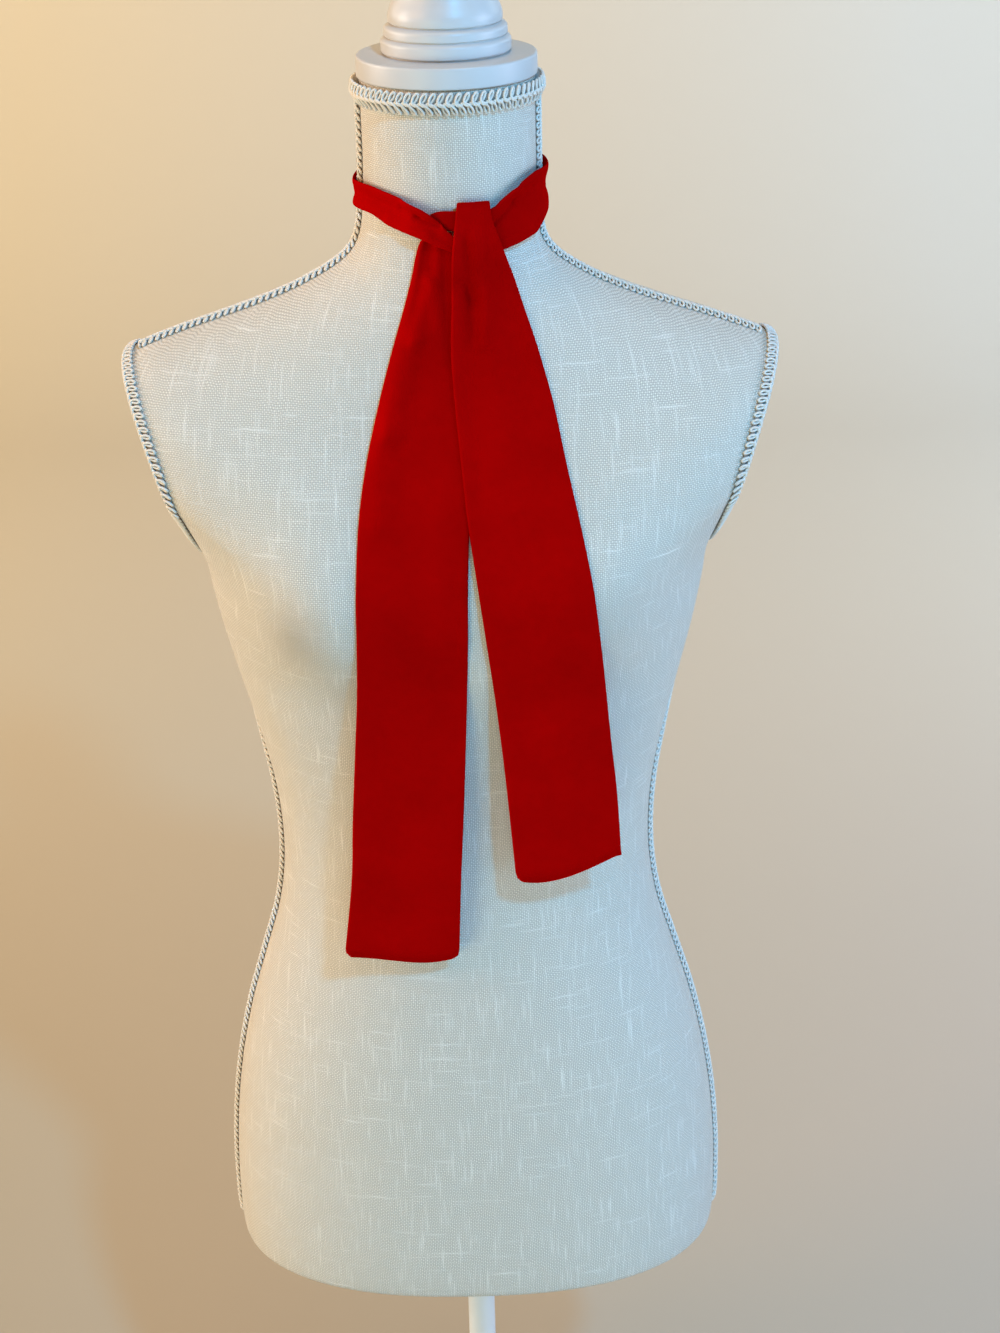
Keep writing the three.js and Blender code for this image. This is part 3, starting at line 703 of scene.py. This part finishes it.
gimp = {
    # loops: length along the seam, strand radius, points a loop and sides, roll, slant and rise as they lap
    "pitch": 4.4, "strand": 0.76, "steps": 16, "sides": 6, "swing": 2.1, "slant": 0.42, "lap": 0.5,
    "near": -0.75, "rowShift": 0.9,
    # the tape's section: shares of its half width, drops below the loops, and the length of one step
    "tapeInset": 2.2, "tapeAcross": (-1, -0.9, 0, 0.9, 1, 0.9, 0, -0.9), "edgeDrop": 0.5, "middleDrop": 1.0,
    "tapeStep": 2.5, "tapeMap": 3,
}


def backingTape(path, width, heights):
    # the flat tape under the loops: a closed section of eight points carried along the path
    closed, length = path["closed"], path["length"]
    across = np.array(gimp["tapeAcross"]) * (width / 2 - gimp["tapeInset"])
    high, low = heights[0] - gimp["edgeDrop"], heights[2] - gimp["edgeDrop"]
    height = np.array([low / 2, low, heights[1] - gimp["middleDrop"], high, high / 2, 0.0, 0.0, 0.0])
    count = max(int(length / gimp["tapeStep"]), 8)
    along = np.linspace(0, length, count, endpoint=not closed)
    ring = np.stack([onPath(path, along, np.full(count, a), np.full(count, h))[0]
                     for a, h in zip(across, height)], 1)
    scale = mm * gimp["tapeMap"]
    return sweptTube(ring, across[None, :] * scale, along[:, None] * scale, closed)


def gimpBraid(name, path, width, heights):
    # two rows of slanted loops: each row is a rolling curve (a sine along, a cosine across) that laps over itself
    # and over the other row; heights are those of the upper edge, the middle and the lower edge
    loops = int(round(path["length"] / gimp["pitch"]))
    pitch = path["length"] / loops
    count = loops * gimp["steps"] + (0 if path["closed"] else 1)
    turn = np.arange(count) * 2 * pi / gimp["steps"]
    far, near = width / 2 - gimp["strand"], gimp["near"]
    strands = [backingTape(path, width, heights)]
    for row, edge in ((1, heights[0]), (-1, heights[2])):
        t = turn + (0 if row > 0 else pi * gimp["rowShift"])
        away = (far + near) / 2 + (far - near) / 2 * np.cos(t)
        along = turn / (2 * pi) * pitch - gimp["swing"] * np.sin(t) + gimp["slant"] * away
        height = mix(heights[1], edge, np.clip(away / far, 0, 1)) + row * gimp["lap"] * np.sin(t)
        points, out = onPath(path, along, row * away, height)
        strands.append(strand(points, out, gimp["strand"], gimp["sides"], path["closed"]))
    return joinStrands(name, strands, "braid")


def seamPath(side, seam):
    # down the side of the form, a little forward of its widest line, and behind it on the chest
    steps = np.linspace(0, lastLevel, 700)
    ends = np.interp([-seam["top"], -seam["low"]], -rowsAt(torsoForm["levels"], steps)[1], steps)
    place = np.linspace(*ends, 260)
    behind = seam["chestBack"] * smooth(rowsAt(torsoForm["levels"], place)[1], *trims["chest"])
    forward = (trims["seamForward"] - behind) * pi / 180
    turn = -forward if side > 0 else pi + forward
    points, nudge = torsoSurface(place, turn), 0.01
    around = unit(torsoSurface(place, turn + nudge) - torsoSurface(place, turn - nudge))
    out = unit(np.cross(around, tangents(points, False)))
    out *= np.sign(out[:, :1] * side + out[:, 2:] * 0.2)
    return makePath(points, out, False)


def armholePath(side, steps=400):
    # the rim where the flat end cuts the level lines: down the front of it and up the back, evenly spaced
    def outside(place, turn):
        point = openTorso(place, turn)
        return point[..., 0] > armholeX(point[..., 2])

    # the rim's highest and lowest place lie between these level lines
    (topFrom, topTo), (lowFrom, lowTo) = trims["armhole"]["levels"]
    one = np.zeros(1)
    top = bisect(one + topFrom, one + topTo, lambda at: outside(at, one))[0]
    low = bisect(one + lowFrom, one + lowTo, lambda at: ~outside(at, one))[0]
    place = mix(top, low, (1 - np.cos(np.linspace(0, pi, 300))) / 2)
    rim, skin, step, nudge = [], [], 0.02, 0.01
    for sign in (-1, 1):
        reach = bisect(np.zeros(place.shape), np.full(place.shape, pi / 2),
                       lambda turn: ~outside(place, turn * sign)) * sign
        rim.append(openTorso(place, reach))
        down = openTorso(place + step, reach) - openTorso(place - step, reach)
        around = openTorso(place, reach + nudge) - openTorso(place, reach - nudge)
        skin.append(unit(np.cross(down, around)))
    points = np.concatenate([rim[0], rim[1][-2:0:-1]])
    skin = np.concatenate([skin[0], skin[1][-2:0:-1]])
    skin *= np.where(skin[:, :1] < 0, -1, 1)
    middle = points.mean(0)
    loop = makePath(points, skin, True)
    even = np.linspace(0, loop["length"], steps, endpoint=False)
    points, skin = (np.stack([np.interp(even, loop["walked"], loop[key][:, k]) for k in range(3)], -1)
                    for key in ("points", "out"))
    arm = torsoForm["armhole"]
    slope = arm["slope"] - 2 * arm["hollow"] * (arm["z"] - points[:, 2])
    flat = unit(np.stack([np.ones(steps), np.zeros(steps), -slope], -1))
    tangent = tangents(points, True)
    onSkin, onFlat = unit(np.cross(skin, tangent)), unit(np.cross(flat, tangent))
    onSkin *= -np.sign(onSkin[:, :1])
    onFlat *= np.sign(np.einsum("ij,ij->i", onFlat, middle - points))[:, None]
    mirror = np.array([side, 1, 1])
    return makePath(*(line * mirror for line in (points, unit(skin + flat))), True,
                    *(line * mirror for line in (onSkin, onFlat, skin, flat)))


trims = {
    # whole width, then heights of the strand's middle at the upper edge, the centre and the lower edge
    "neck": {"z": 783.2, "radius": 50.5, "width": 13.6, "heights": (4.3, 5.2, 2.1)},
    "armhole": {"width": 12.4, "heights": (1.1, 2.4, 1.1), "levels": ((9, 13), (15, 19))},
    "seam": {"width": 9.6, "heights": (0.8, 2.5, 0.8)},
    # degrees that the seams lie forward, and how far back again the side seams go between these heights
    "seamForward": 2.0, "chest": (340, 470),
    "seams": {
        "Shoulder": {"node": "shoulder_cord_", "top": 777, "low": 634.5, "chestBack": 0},
        "Side": {"node": "side_cord_", "top": 491, "low": 3, "chestBack": 12.0},
    },
}


def layBraid(word, path, kind, node):
    braid = gimpBraid("gimpBraid" + word, path, trims[kind]["width"], trims[kind]["heights"])
    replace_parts(braid, node)


turn = np.linspace(0, 2 * pi, 360, endpoint=False)
ringOut = np.stack([np.cos(turn), np.sin(turn), np.zeros(turn.size)], -1)
neckMiddle = np.array([leanAt(trims["neck"]["z"]), 0, trims["neck"]["z"]])
layBraid("Neck", makePath(ringOut * trims["neck"]["radius"] + neckMiddle, ringOut, True), "neck", "neck_braid")
for word, side in (("left", -1), ("right", 1)):
    layBraid("Armhole." + word, armholePath(side), "armhole", "armhole_braid_" + word)
    for place, seam in trims["seams"].items():
        layBraid(place + "." + word, seamPath(side, seam), "seam", seam["node"] + word)
print("braids laid")


# Cap, pole and foot

capTurning = {
    # height of its underside, then radius, height and rounding of each corner
    "base": 790.3, "segments": 128,
    "corners": [
        (0, 0, 0), (52, 0, 1), (52, 12.2, 1.6), (36.2, 12.5, 0.2), (35.6, 12.6, 0.2), (35.6, 13.1, 0.2),
        (37.2, 13.6, 1.4), (37.4, 20.4, 2.6), (34.9, 22.0, 0.2), (34.4, 22.1, 0.1), (34.4, 22.5, 0.1),
        (35.4, 22.9, 1.2), (35.3, 27.8, 2.4), (31.9, 29.3, 0.2), (31.4, 29.4, 0.1), (31.4, 29.8, 0.1),
        (32.6, 30.2, 1.0), (32.8, 34.4, 2.4), (31.4, 38.6, 3), (28.6, 44, 4), (26.2, 52, 5), (24.5, 61, 5),
        (21, 68, 4), (15, 73, 4), (7.5, 75.6, 4), (0, 76.3, 0)],
}
standTurning = {
    "pole": {"radius": 9.5, "top": -0.3, "low": 34.3, "rounding": 0.4, "segments": 64},
    "foot": [(0, 0, 0), (155, 0, 1.2), (155, 9.5, 4), (120, 14.5, 30), (70, 18.5, 40), (28, 21, 5), (24, 24, 2),
             (22.5, 33, 2), (12, 34, 1), (0, 34, 0)],
    "footSegments": 160,
}


def turnCorners(name, corners, base, paint, slot, segments, node, shift=0):
    # rounded corners (radius, height over the base, rounding) turned into a piece that replaces its solid
    profile = roundedProfile(corners)
    profile[:, 1] += base
    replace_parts(turnedPiece(name, profile, paint, slot, segments, shift), node)


turnCorners("turnedCap", capTurning["corners"], capTurning["base"], capPaint, "cap_paint",
            capTurning["segments"], "neck_cap", leanAt(capTurning["base"]))
pole = standTurning["pole"]
low, top, radius, rounding = pole["low"] - rimHeight, pole["top"], pole["radius"], pole["rounding"]
turnCorners("whitePole", [(0, low, 0), (radius, low, rounding), (radius, top, rounding), (0, top, 0)], 0,
            standPaint, "stand_paint", pole["segments"], "pole")
turnCorners("roundFoot", standTurning["foot"], -rimHeight, standPaint, "stand_paint",
            standTurning["footSegments"], "stand_foot")
print("cap, pole and foot turned")


# The scarf

def foldHeight(folds, across, along, fade):
    # folds (place across, width, height, first and last row) run along a piece: a bell shape across it,
    # faded in and out along it
    height = np.zeros(np.broadcast(across, along).shape)
    for at, width, tall, start, end in folds:
        inside = smooth(along, start - fade, start + fade) * (1 - smooth(along, end - fade, end + fade))
        height = height + tall * inside * np.exp(-((across - at) / width)**2)
    return height


def creaseHeight(creases, x, z):
    # a crease runs from one point (x, z) to another, then says its width and height: a bell of the distance to it
    height = np.zeros(x.shape)
    for x0, z0, x1, z1, width, tall in creases:
        reachX, reachZ = x1 - x0, z1 - z0
        share = ((x - x0) * reachX + (z - z0) * reachZ) / (reachX**2 + reachZ**2)
        inside = np.clip(share, 0, 1)
        away = np.hypot(x - x0 - inside * reachX, z - z0 - inside * reachZ)
        height += tall * np.exp(-(away / width)**2)
    return height


scarfCloth = {
    # pressed width and double thickness; how sharp the pressed edges are, and the rounding of a tail's end
    "width": 66, "thickness": 1.1, "edgePower": 14, "edgeLeast": 0.02, "endRound": 1.5, "endLeast": 0.05,
    "foldFade": 0.8, "leastLift": 1.2,
}


def clothShell(name, sheet, wide, node, endRound=None):
    # two skins half the thickness to each side of the sheet, drawn together round the pressed edges
    rows, columns = sheet.shape[:2]
    along, across = np.gradient(sheet, axis=0), np.gradient(sheet, axis=1)
    normal = unit(np.cross(across, along))
    edge = np.abs(np.linspace(-1, 1, columns)[None, :])
    plump = np.sqrt(np.clip(1 - edge**scarfCloth["edgePower"], scarfCloth["edgeLeast"], 1)) * np.ones((rows, 1))
    step = np.linalg.norm(np.diff(sheet, axis=0), axis=2).mean(1)
    walked, length = np.concatenate([[0], np.cumsum(step)]), step.sum()
    if endRound:
        inward = 1 - np.clip((walked[-1] - walked) / endRound, 0, 1)
        plump *= np.sqrt(np.clip(1 - inward**2, scarfCloth["endLeast"], 1))[:, None]
    offset = normal * (plump * scarfCloth["thickness"] / 2)[..., None]
    ring = np.concatenate([sheet + offset, (sheet - offset)[:, ::-1]], 1)
    count = 2 * columns
    flatAcross = np.linspace(0, wide, columns)[None, :] * np.ones((rows, 1))
    flatAcross = np.concatenate([flatAcross, 2 * wide - flatAcross[:, ::-1]], 1) * mm
    flatAlong = np.broadcast_to(walked[:, None] * mm, (rows, count))
    # both ends of the flattened tube are closed by cells between its two skins
    j = np.arange(columns - 1)
    first = np.stack([j, count - 1 - j, count - 2 - j, j + 1], -1)
    last = first[:, ::-1] + (rows - 1) * count
    faces = np.concatenate([gridFaces(rows, count, loopColumns=True), first, last])
    maps = gridMaps(flatAcross, flatAlong, loopColumns=True)
    maps = np.concatenate([maps, np.zeros((2 * (columns - 1), 4, 2))])
    piece = makePiece(name, ring, faces, maps, silk, "silk")
    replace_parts(piece, node)


neckBands = {
    # rows: turn round the neck in degrees, heights of the lower and upper edge, how far the cloth stands off;
    # folds and creases as foldHeight and creaseHeight read them, a crease's x being the turn
    "left": {
        "rows": [
            (-150, 716, 737, 2.4), (-125, 715.5, 736, 2.8), (-103, 716.3, 733.5, 4.2), (-88, 717, 732, 4.8),
            (-72, 717.8, 733.4, 4.2), (-56, 717.6, 733.7, 2.9), (-42, 714, 732, 2.6), (-31, 711.6, 730.2, 3.6),
            (-22, 710.4, 728, 6.6), (-14, 708.2, 725, 8.2), (-7, 705.2, 719.6, 8.4), (-1, 702.7, 713.6, 8.4),
            (5, 700.2, 708.2, 8.2)],
        "folds": [(0.95, 0.22, 0.9, 0, 9), (0.5, 0.2, -0.8, 5, 10.5), (0.1, 0.2, 0.8, 3, 12)],
        "creases": [(-30, 724.5, -17, 720.4, 1.7, -0.9), (-19, 720.6, -5, 716.6, 1.7, -2.3),
                    (-27, 729.5, -8, 723, 2.0, 1.0), (-40, 715.5, -12, 712, 3.5, 0.7),
                    (-76, 728, -38, 724, 3.0, -0.5), (-120, 722, -80, 723, 2.4, -0.6),
                    (-140, 731, -95, 729, 2.2, 0.5)],
    },
    "right": {
        "rows": [
            (150, 715, 739, 2.4), (125, 714, 739.5, 3), (104, 713, 739.2, 5), (90, 711.5, 738.4, 5.6),
            (77, 709.3, 739, 5.4), (63, 704.2, 739.2, 4.9), (54, 702.6, 737.6, 4.7), (46, 701.2, 735, 4.7),
            (39, 699.9, 731.6, 4.7), (32, 699, 727.6, 4.7), (26, 700.4, 724, 4.7), (18, 704, 722.8, 4.7),
            (10, 708.5, 723.4, 4.7), (2, 712.3, 723.8, 4.7), (-6, 713.2, 723.6, 4.7), (-12, 713.6, 721.6, 4.6)],
        "folds": [(0.97, 0.2, 1, 0, 8), (0.62, 0.16, -0.9, 2, 8.5), (0.15, 0.25, 0.7, 1, 7.5)],
        "creases": [(24, 721.5, 44, 732.6, 2.0, 1.3), (44, 732.6, 68, 736.6, 2.2, 0.9),
                    (27, 714.5, 43, 725.0, 2.0, -1.7), (43, 725.0, 60, 729.5, 2.6, -1.2),
                    (36, 705, 60, 707.5, 4.0, 0.9), (78, 722, 138, 727, 2.8, -0.7), (92, 731, 148, 733, 2.2, 0.5)],
    },
    "back": {
        "rows": [(150.5, 715, 739, 2.4), (170, 716.3, 740.3, 2.2), (190, 716.8, 739.6, 2.2),
                 (209.5, 716, 737, 2.4)],
        "folds": [(0.6, 0.18, -0.7, -1, 4), (0.2, 0.2, 0.6, -1, 4)],
        "creases": [(150, 722, 186, 725, 2.4, -0.5), (172, 733, 206, 731, 2.0, 0.5)],
    },
}


def neckBand(word, lines, columns=40):
    # a ribbon round the neck: its turn and edges from the table, standing off the neck by lift and folds
    band = neckBands[word]
    along = np.linspace(0, len(band["rows"]) - 1, lines)[:, None]
    across = np.linspace(0, 1, columns)[None, :]
    turn, low, high, lift = rowsAt(band["rows"], along)
    z = mix(low, high, across)
    lift = (lift + foldHeight(band["folds"], across, along, scarfCloth["foldFade"])
            + creaseHeight(band["creases"], turn + 0 * z, z))
    turn = turn * pi / 180
    radius = neckRadius(turn, z) + np.maximum(lift, scarfCloth["leastLift"])
    sheet = np.stack([leanAt(z) + radius * np.sin(turn), -radius * np.cos(turn), z], -1)
    wide = np.linalg.norm(np.diff(sheet, axis=1), axis=2).sum(1).mean()
    clothShell("silkBand." + word, sheet, wide, "scarf_band_" + word)


hangingEnds = {
    # rows: heights of the left and right edge, their places across, and how far each stands off the form;
    # firstRow: where creases begin; sag: drop of the lower edge, deepest at the lowest share of the width;
    # corners: how far the left and right corner are rounded up
    "left": {
        "rows": [
            (708, 711.5, -12.5, 4, 4.2, 4.3), (705, 708, -14.8, 5, 3.6, 4.2), (697, 699, -17.2, 7, 2.6, 3.4),
            (685, 686, -20, 8.5, 2.3, 2.9), (668, 668, -25, 10, 2.2, 2.4), (645, 645, -32.6, 11.3, 2.1, 2.1),
            (615, 615, -41.6, 12.6, 2, 2), (585, 585, -49.2, 12.9, 2, 2), (555, 554, -54.2, 9.8, 2, 2.2),
            (520, 519, -56.8, 7.8, 2, 2.4), (485, 484, -58, 6.8, 2.2, 3), (450, 449, -59.8, 5.3, 2.2, 3.4),
            (410, 408, -63, 3.2, 2, 3.6), (365, 363, -66.6, 0.6, 2, 3.6), (322, 319, -69.4, -2.2, 2, 3.6),
            (266.5, 265.5, -76.6, -5.0, 1.6, 3.2)],
        "folds": [(0.08, 0.1, 1.6, -1, 7), (0.32, 0.12, -0.9, 0, 5.5), (0.55, 0.14, 1.1, -1, 5)],
        "creases": [(-10.6, 697, -11, 686, 3.0, 0.8), (-10, 682, -19, 653, 5.0, 2.8),
                    (-19, 653, -35, 605, 7.0, 3.6), (-35, 605, -43, 556, 9.0, 2.4),
                    (-36, 624, -24, 618, 3.6, -0.7), (-40, 611, -27, 605, 3.6, 0.6),
                    (-44, 598, -30, 593, 3.6, -0.5), (-3, 700, 3, 640, 4.0, -0.8), (-8, 560, -10, 470, 8.0, 0.7),
                    (-45, 450, -50, 380, 10.0, -0.9), (-20, 430, -24, 330, 14.0, 0.8)],
        "firstRow": -1, "sag": 4.1, "lowest": 0.68, "corners": (2.8, 1.2),
    },
    "right": {
        "rows": [
            (709, 709, 9.5, 24, 1.8, 1.8), (716, 716, 8.6, 24.6, 1.8, 1.8), (722.5, 722.5, 7.9, 25.2, 1.9, 1.9),
            (726.8, 726.4, 7.6, 25.5, 3.6, 3.6), (728.4, 727.8, 7.4, 25.7, 6.6, 6.6), (726.8, 726, 7, 26, 9.8, 9.8),
            (721.5, 721, 6.4, 26.6, 11.4, 11.4), (714, 714, 5.4, 28.4, 12, 12), (706, 705, 4.4, 31.6, 11.8, 11.2),
            (696, 695, 3.5, 34.6, 10.4, 8.2), (684, 683, 3.1, 38.6, 8.6, 4.6), (668, 667, 2.6, 43.8, 7, 3),
            (645, 644, 1.6, 51.6, 6, 2.2), (615, 614, 3.2, 60, 5.4, 2), (585, 584, 5.8, 66.2, 5.2, 2),
            (555, 554, 8.6, 73, 5.2, 2), (520, 520, 13, 79.6, 5, 2), (488, 489, 16.8, 83.4, 4.4, 2),
            (455, 457, 20.4, 86.6, 4.2, 2), (415, 418, 24.6, 90, 4.4, 2), (375, 381, 28, 93.6, 4.6, 2),
            (322.5, 337.5, 31.8, 96, 4.2, 1.6)],
        "folds": [(0.04, 0.1, 2.2, 7, 13.5), (0.27, 0.1, -1.6, 7.5, 12), (0.5, 0.13, 1.8, 7, 12),
                  (0.78, 0.12, -0.8, 7.5, 13)],
        "creases": [(22, 722, 21.6, 696, 2.6, 1.0), (8, 684, 15, 674, 3.8, -2.4), (22, 676, 19.6, 650, 3.8, 2.2),
                    (33, 690, 44, 656, 2.6, 0.6), (44, 656, 52, 628, 3.0, 0.5), (29, 688, 41, 640, 5.0, -0.6),
                    (22, 640, 36, 590, 9.0, 1.2), (10, 630, 16, 570, 6.0, -1.1), (60, 560, 68, 500, 10.0, 0.5),
                    (36, 440, 44, 400, 12.0, -0.8), (66, 430, 72, 370, 10.0, 0.7)],
        "firstRow": 4.6, "sag": 7.3, "lowest": 0.4, "corners": (1.2, -0.9),
    },
    # height of the bust's ledge, the drop over which the cloth flattens below it, its swing inwards and the
    # curl of its lower edge; then how many rows from the end the sag, the curl and the corners begin
    "ledge": 492, "flatten": 150, "swing": 8, "swingShare": 3, "curl": 4,
    "sagRows": 2, "curlRows": 0.3, "cornerRows": 0.25, "cornerFrom": 0.42, "cornerDraw": 0.4, "creaseFade": 0.5,
}


def hangingEnd(word, lines, columns=60):
    # a ribbon that lies on the chest as far as the bust's ledge; below it the cloth leaves the form,
    # swings in a little and hangs straight, and its slope across flattens out; its lower edge sags by a sine
    end, cloth = hangingEnds[word], hangingEnds
    last = len(end["rows"]) - 1
    along = np.linspace(0, last, lines)[:, None]
    across = np.linspace(0, 1, columns)[None, :]
    leftZ, rightZ, leftX, rightX, leftLift, rightLift = rowsAt(end["rows"], along)
    dip = end["sag"] * smooth(along, last - cloth["sagRows"], last)
    x = mix(leftX, rightX, across)
    z = mix(leftZ, rightZ, across) - dip * np.sin(pi * across**(np.log(0.5) / np.log(end["lowest"])))
    creased = creaseHeight(end["creases"], x, z) * smooth(
        along, end["firstRow"] - cloth["creaseFade"], end["firstRow"] + cloth["creaseFade"])
    folded = foldHeight(end["folds"], across, along, scarfCloth["foldFade"])
    curled = cloth["curl"] * smooth(along, last - cloth["curlRows"], last)**2
    lift = np.maximum(mix(leftLift, rightLift, across) + folded + creased, scarfCloth["leastLift"]) - curled
    ledge, flatten = cloth["ledge"], cloth["flatten"]
    free = np.maximum(ledge - z, 0)
    resting = frontReach(x, np.maximum(z, ledge))
    level = frontReach((leftX + rightX) / 2, np.full(leftX.shape, float(ledge)))
    reach = (mix(resting, level, smooth(free, 0, flatten))
             - cloth["swing"] * smooth(free, 0, flatten / cloth["swingShare"]))
    nearEnd = smooth(along, last - cloth["cornerRows"], last)
    rounded = nearEnd * smooth(np.abs(across - 0.5), cloth["cornerFrom"], 0.5)**2 * np.where(
        across < 0.5, *end["corners"])
    z = z + rounded
    x = x + cloth["cornerDraw"] * rounded * np.sign(0.5 - across)
    sheet = np.stack([x, -(reach + lift), z], -1)
    clothShell("silkEnd." + word, sheet, scarfCloth["width"], "scarf_tail_" + word, scarfCloth["endRound"])


for word, lines in (("left", 200), ("right", 220), ("back", 80)):
    neckBand(word, lines)
for word, lines in (("left", 360), ("right", 420)):
    hangingEnd(word, lines)
print("scarf tied")


# Floor, lights and camera

studio = {
    # metres, except aimAboveRim in millimetres; the paper's colours blend from left to right, warm to cool, as
    # painted light from the lamps, and from the near floor (low), darker as painted shade, with distance and height
    # (high)
    "leftPaperPaintedLight": {"low": (0.32, 0.245, 0.128), "high": (0.60, 0.48, 0.30)},
    "rightPaperPaintedLight": {"low": (0.455, 0.425, 0.39), "high": (0.555, 0.54, 0.52)},
    "paperAcross": (-0.9, 0.9), "paperShadeRise": (0.2, 4.2), "roughness": 0.95,
    "patchPaper": (0.44, 0.34, 0.22), "patchShare": 0.12, "patchSize": 1.6, "patchAmount": 0.6,
    "wallY": 3.9, "sweep": 1.4, "halfWidth": 4.5, "front": -4.5, "tall": 4.5,
    "world": (0.9, 0.95, 1.0), "worldStrength": 0.06, "aimAboveRim": 420,
    "lights": {
        # place in metres, width of the disc, power and colour
        "warmHigh": ((-2.2, -1.2, 2.4), 1.2, 24, (1.0, 0.40, 0.0)),
        "warmSide": ((-2.6, 0.1, 1.4), 1.4, 59, (1.0, 0.85, 0.74)),
        "warmFront": ((-1.6, -2.6, 0.8), 1.6, 27, (1.0, 1.0, 0.62)),
        "coolKey": ((0.8, -1.85, 2.6), 0.2, 52, (0.06, 0.50, 1.0)),
        "coolSide": ((2.5, -0.4, 1.2), 1.4, 40, (0.70, 0.78, 1.0)),
        "coolFront": ((1.9, -2.2, 0.8), 1.4, 18, (0.28, 0.62, 1.0)),
        "frontLow": ((0.1, -2.9, 0.4), 1.2, 22, (0.56, 0.84, 1.0)),
        "frontTop": ((-0.2, -2.2, 3.2), 1.4, 9.5, (1.0, 0.32, 0.05)),
        "overhead": ((0.0, 0.1, 3.4), 1.6, 25, (1.0, 0.80, 0.45)),
    },
    # two more light the wall
    "paperAim": (0.0, 4.2, 0.6),
    "paperLights": {
        "paperLeft": ((-2.2, 1.5, 1.6), 1.2, 58, (1.0, 0.85, 0.75)),
        "paperRight": ((2.2, 1.5, 1.6), 1.2, 58, (0.78, 0.95, 1.0)),
    },
}


def studioSweep():
    # the floor runs back and turns up into the wall on a quarter circle
    arc = np.linspace(0, pi / 2, 24)
    wall, sweep = studio["wallY"], studio["sweep"]
    line = [(studio["front"], 0.0)] + [(wall - sweep + sweep * np.sin(a), sweep - sweep * np.cos(a)) for a in arc]
    line = np.array([*line, (wall, studio["tall"])]) / mm
    side = np.array([-studio["halfWidth"], studio["halfWidth"]]) / mm
    points = np.stack([np.broadcast_to(side, (len(line), 2)), np.repeat(line[:, :1], 2, 1),
                       np.repeat(line[:, 1:], 2, 1) - rimHeight], -1)
    material, tree, shader = startMaterial("studio paper", studio["rightPaperPaintedLight"]["high"], studio["roughness"])
    place = placeOf(tree)
    patchy = patchTone(tree, place, studio["patchSize"], studio["patchAmount"])
    spot = addNode(tree, "ShaderNodeSeparateXYZ", {0: place}).outputs
    # painted light: the paper turns from warm on the left to cool on the right as the lamps tint it, and darker
    # towards the near floor as painted shade
    across = ranged(tree, spot[0], studio["paperAcross"])
    rise = ranged(tree, plus(tree, spot[1], spot[2]), studio["paperShadeRise"])
    tones = [mixColours(tree, across, studio["leftPaperPaintedLight"][part], studio["rightPaperPaintedLight"][part])
             for part in ("low", "high")]
    paper = mixColours(tree, rise, *tones)
    patched = mixColours(tree, times(tree, patchy, studio["patchShare"]), paper, studio["patchPaper"])
    tree.links.new(patched, shader.inputs["Base Color"])
    makePiece("studioFloor", points, gridFaces(len(line), 2), None, material)


def areaLight(name, place, size, power, colour, aim):
    data = bpy.data.lights.new(name, "AREA")
    data.shape, data.size, data.energy, data.color = "DISK", size, power, colour
    light = bpy.data.objects.new(name, data)
    bpy.context.scene.collection.objects.link(light)
    light.location = place
    light.rotation_euler = (light.location - aim).to_track_quat("Z", "Y").to_euler()


studioSweep()
formAim = (0, 0, (rimHeight + studio["aimAboveRim"]) * mm)
for group, aim in (("lights", formAim), ("paperLights", studio["paperAim"])):
    for lightName, values in studio[group].items():
        areaLight(lightName, *values, Vector(aim))
world = bpy.data.worlds.new("soft room")
world.use_nodes = True
background = world.node_tree.nodes["Background"]
for socket, value in zip(background.inputs, (studio["world"], studio["worldStrength"])):
    feed(world.node_tree, socket, value)
bpy.context.scene.world = world
bpy.context.scene.view_settings.view_transform = "Standard"  # plain colours, so the red stays deep

# place in metres, degrees looked down and rolled, and the lens in mm
shot = {"x": 0.025, "y": -1.391, "aboveRim": 1.0527, "down": 24.6, "roll": -1.45, "lens": 64.8, "sensor": 36}
cameraData = bpy.data.cameras.new("camera")
cameraData.lens, cameraData.sensor_width = shot["lens"], shot["sensor"]
camera = bpy.data.objects.new("camera", cameraData)
bpy.context.scene.collection.objects.link(camera)
camera.location = (shot["x"], shot["y"], shot["aboveRim"] + rimHeight * mm)
facing = Matrix.Rotation(radians(90 - shot["down"]), 4, "X") @ Matrix.Rotation(radians(shot["roll"]), 4, "Z")
camera.rotation_euler = facing.to_euler()
bpy.context.scene.camera = camera
print("floor, lights and camera set")
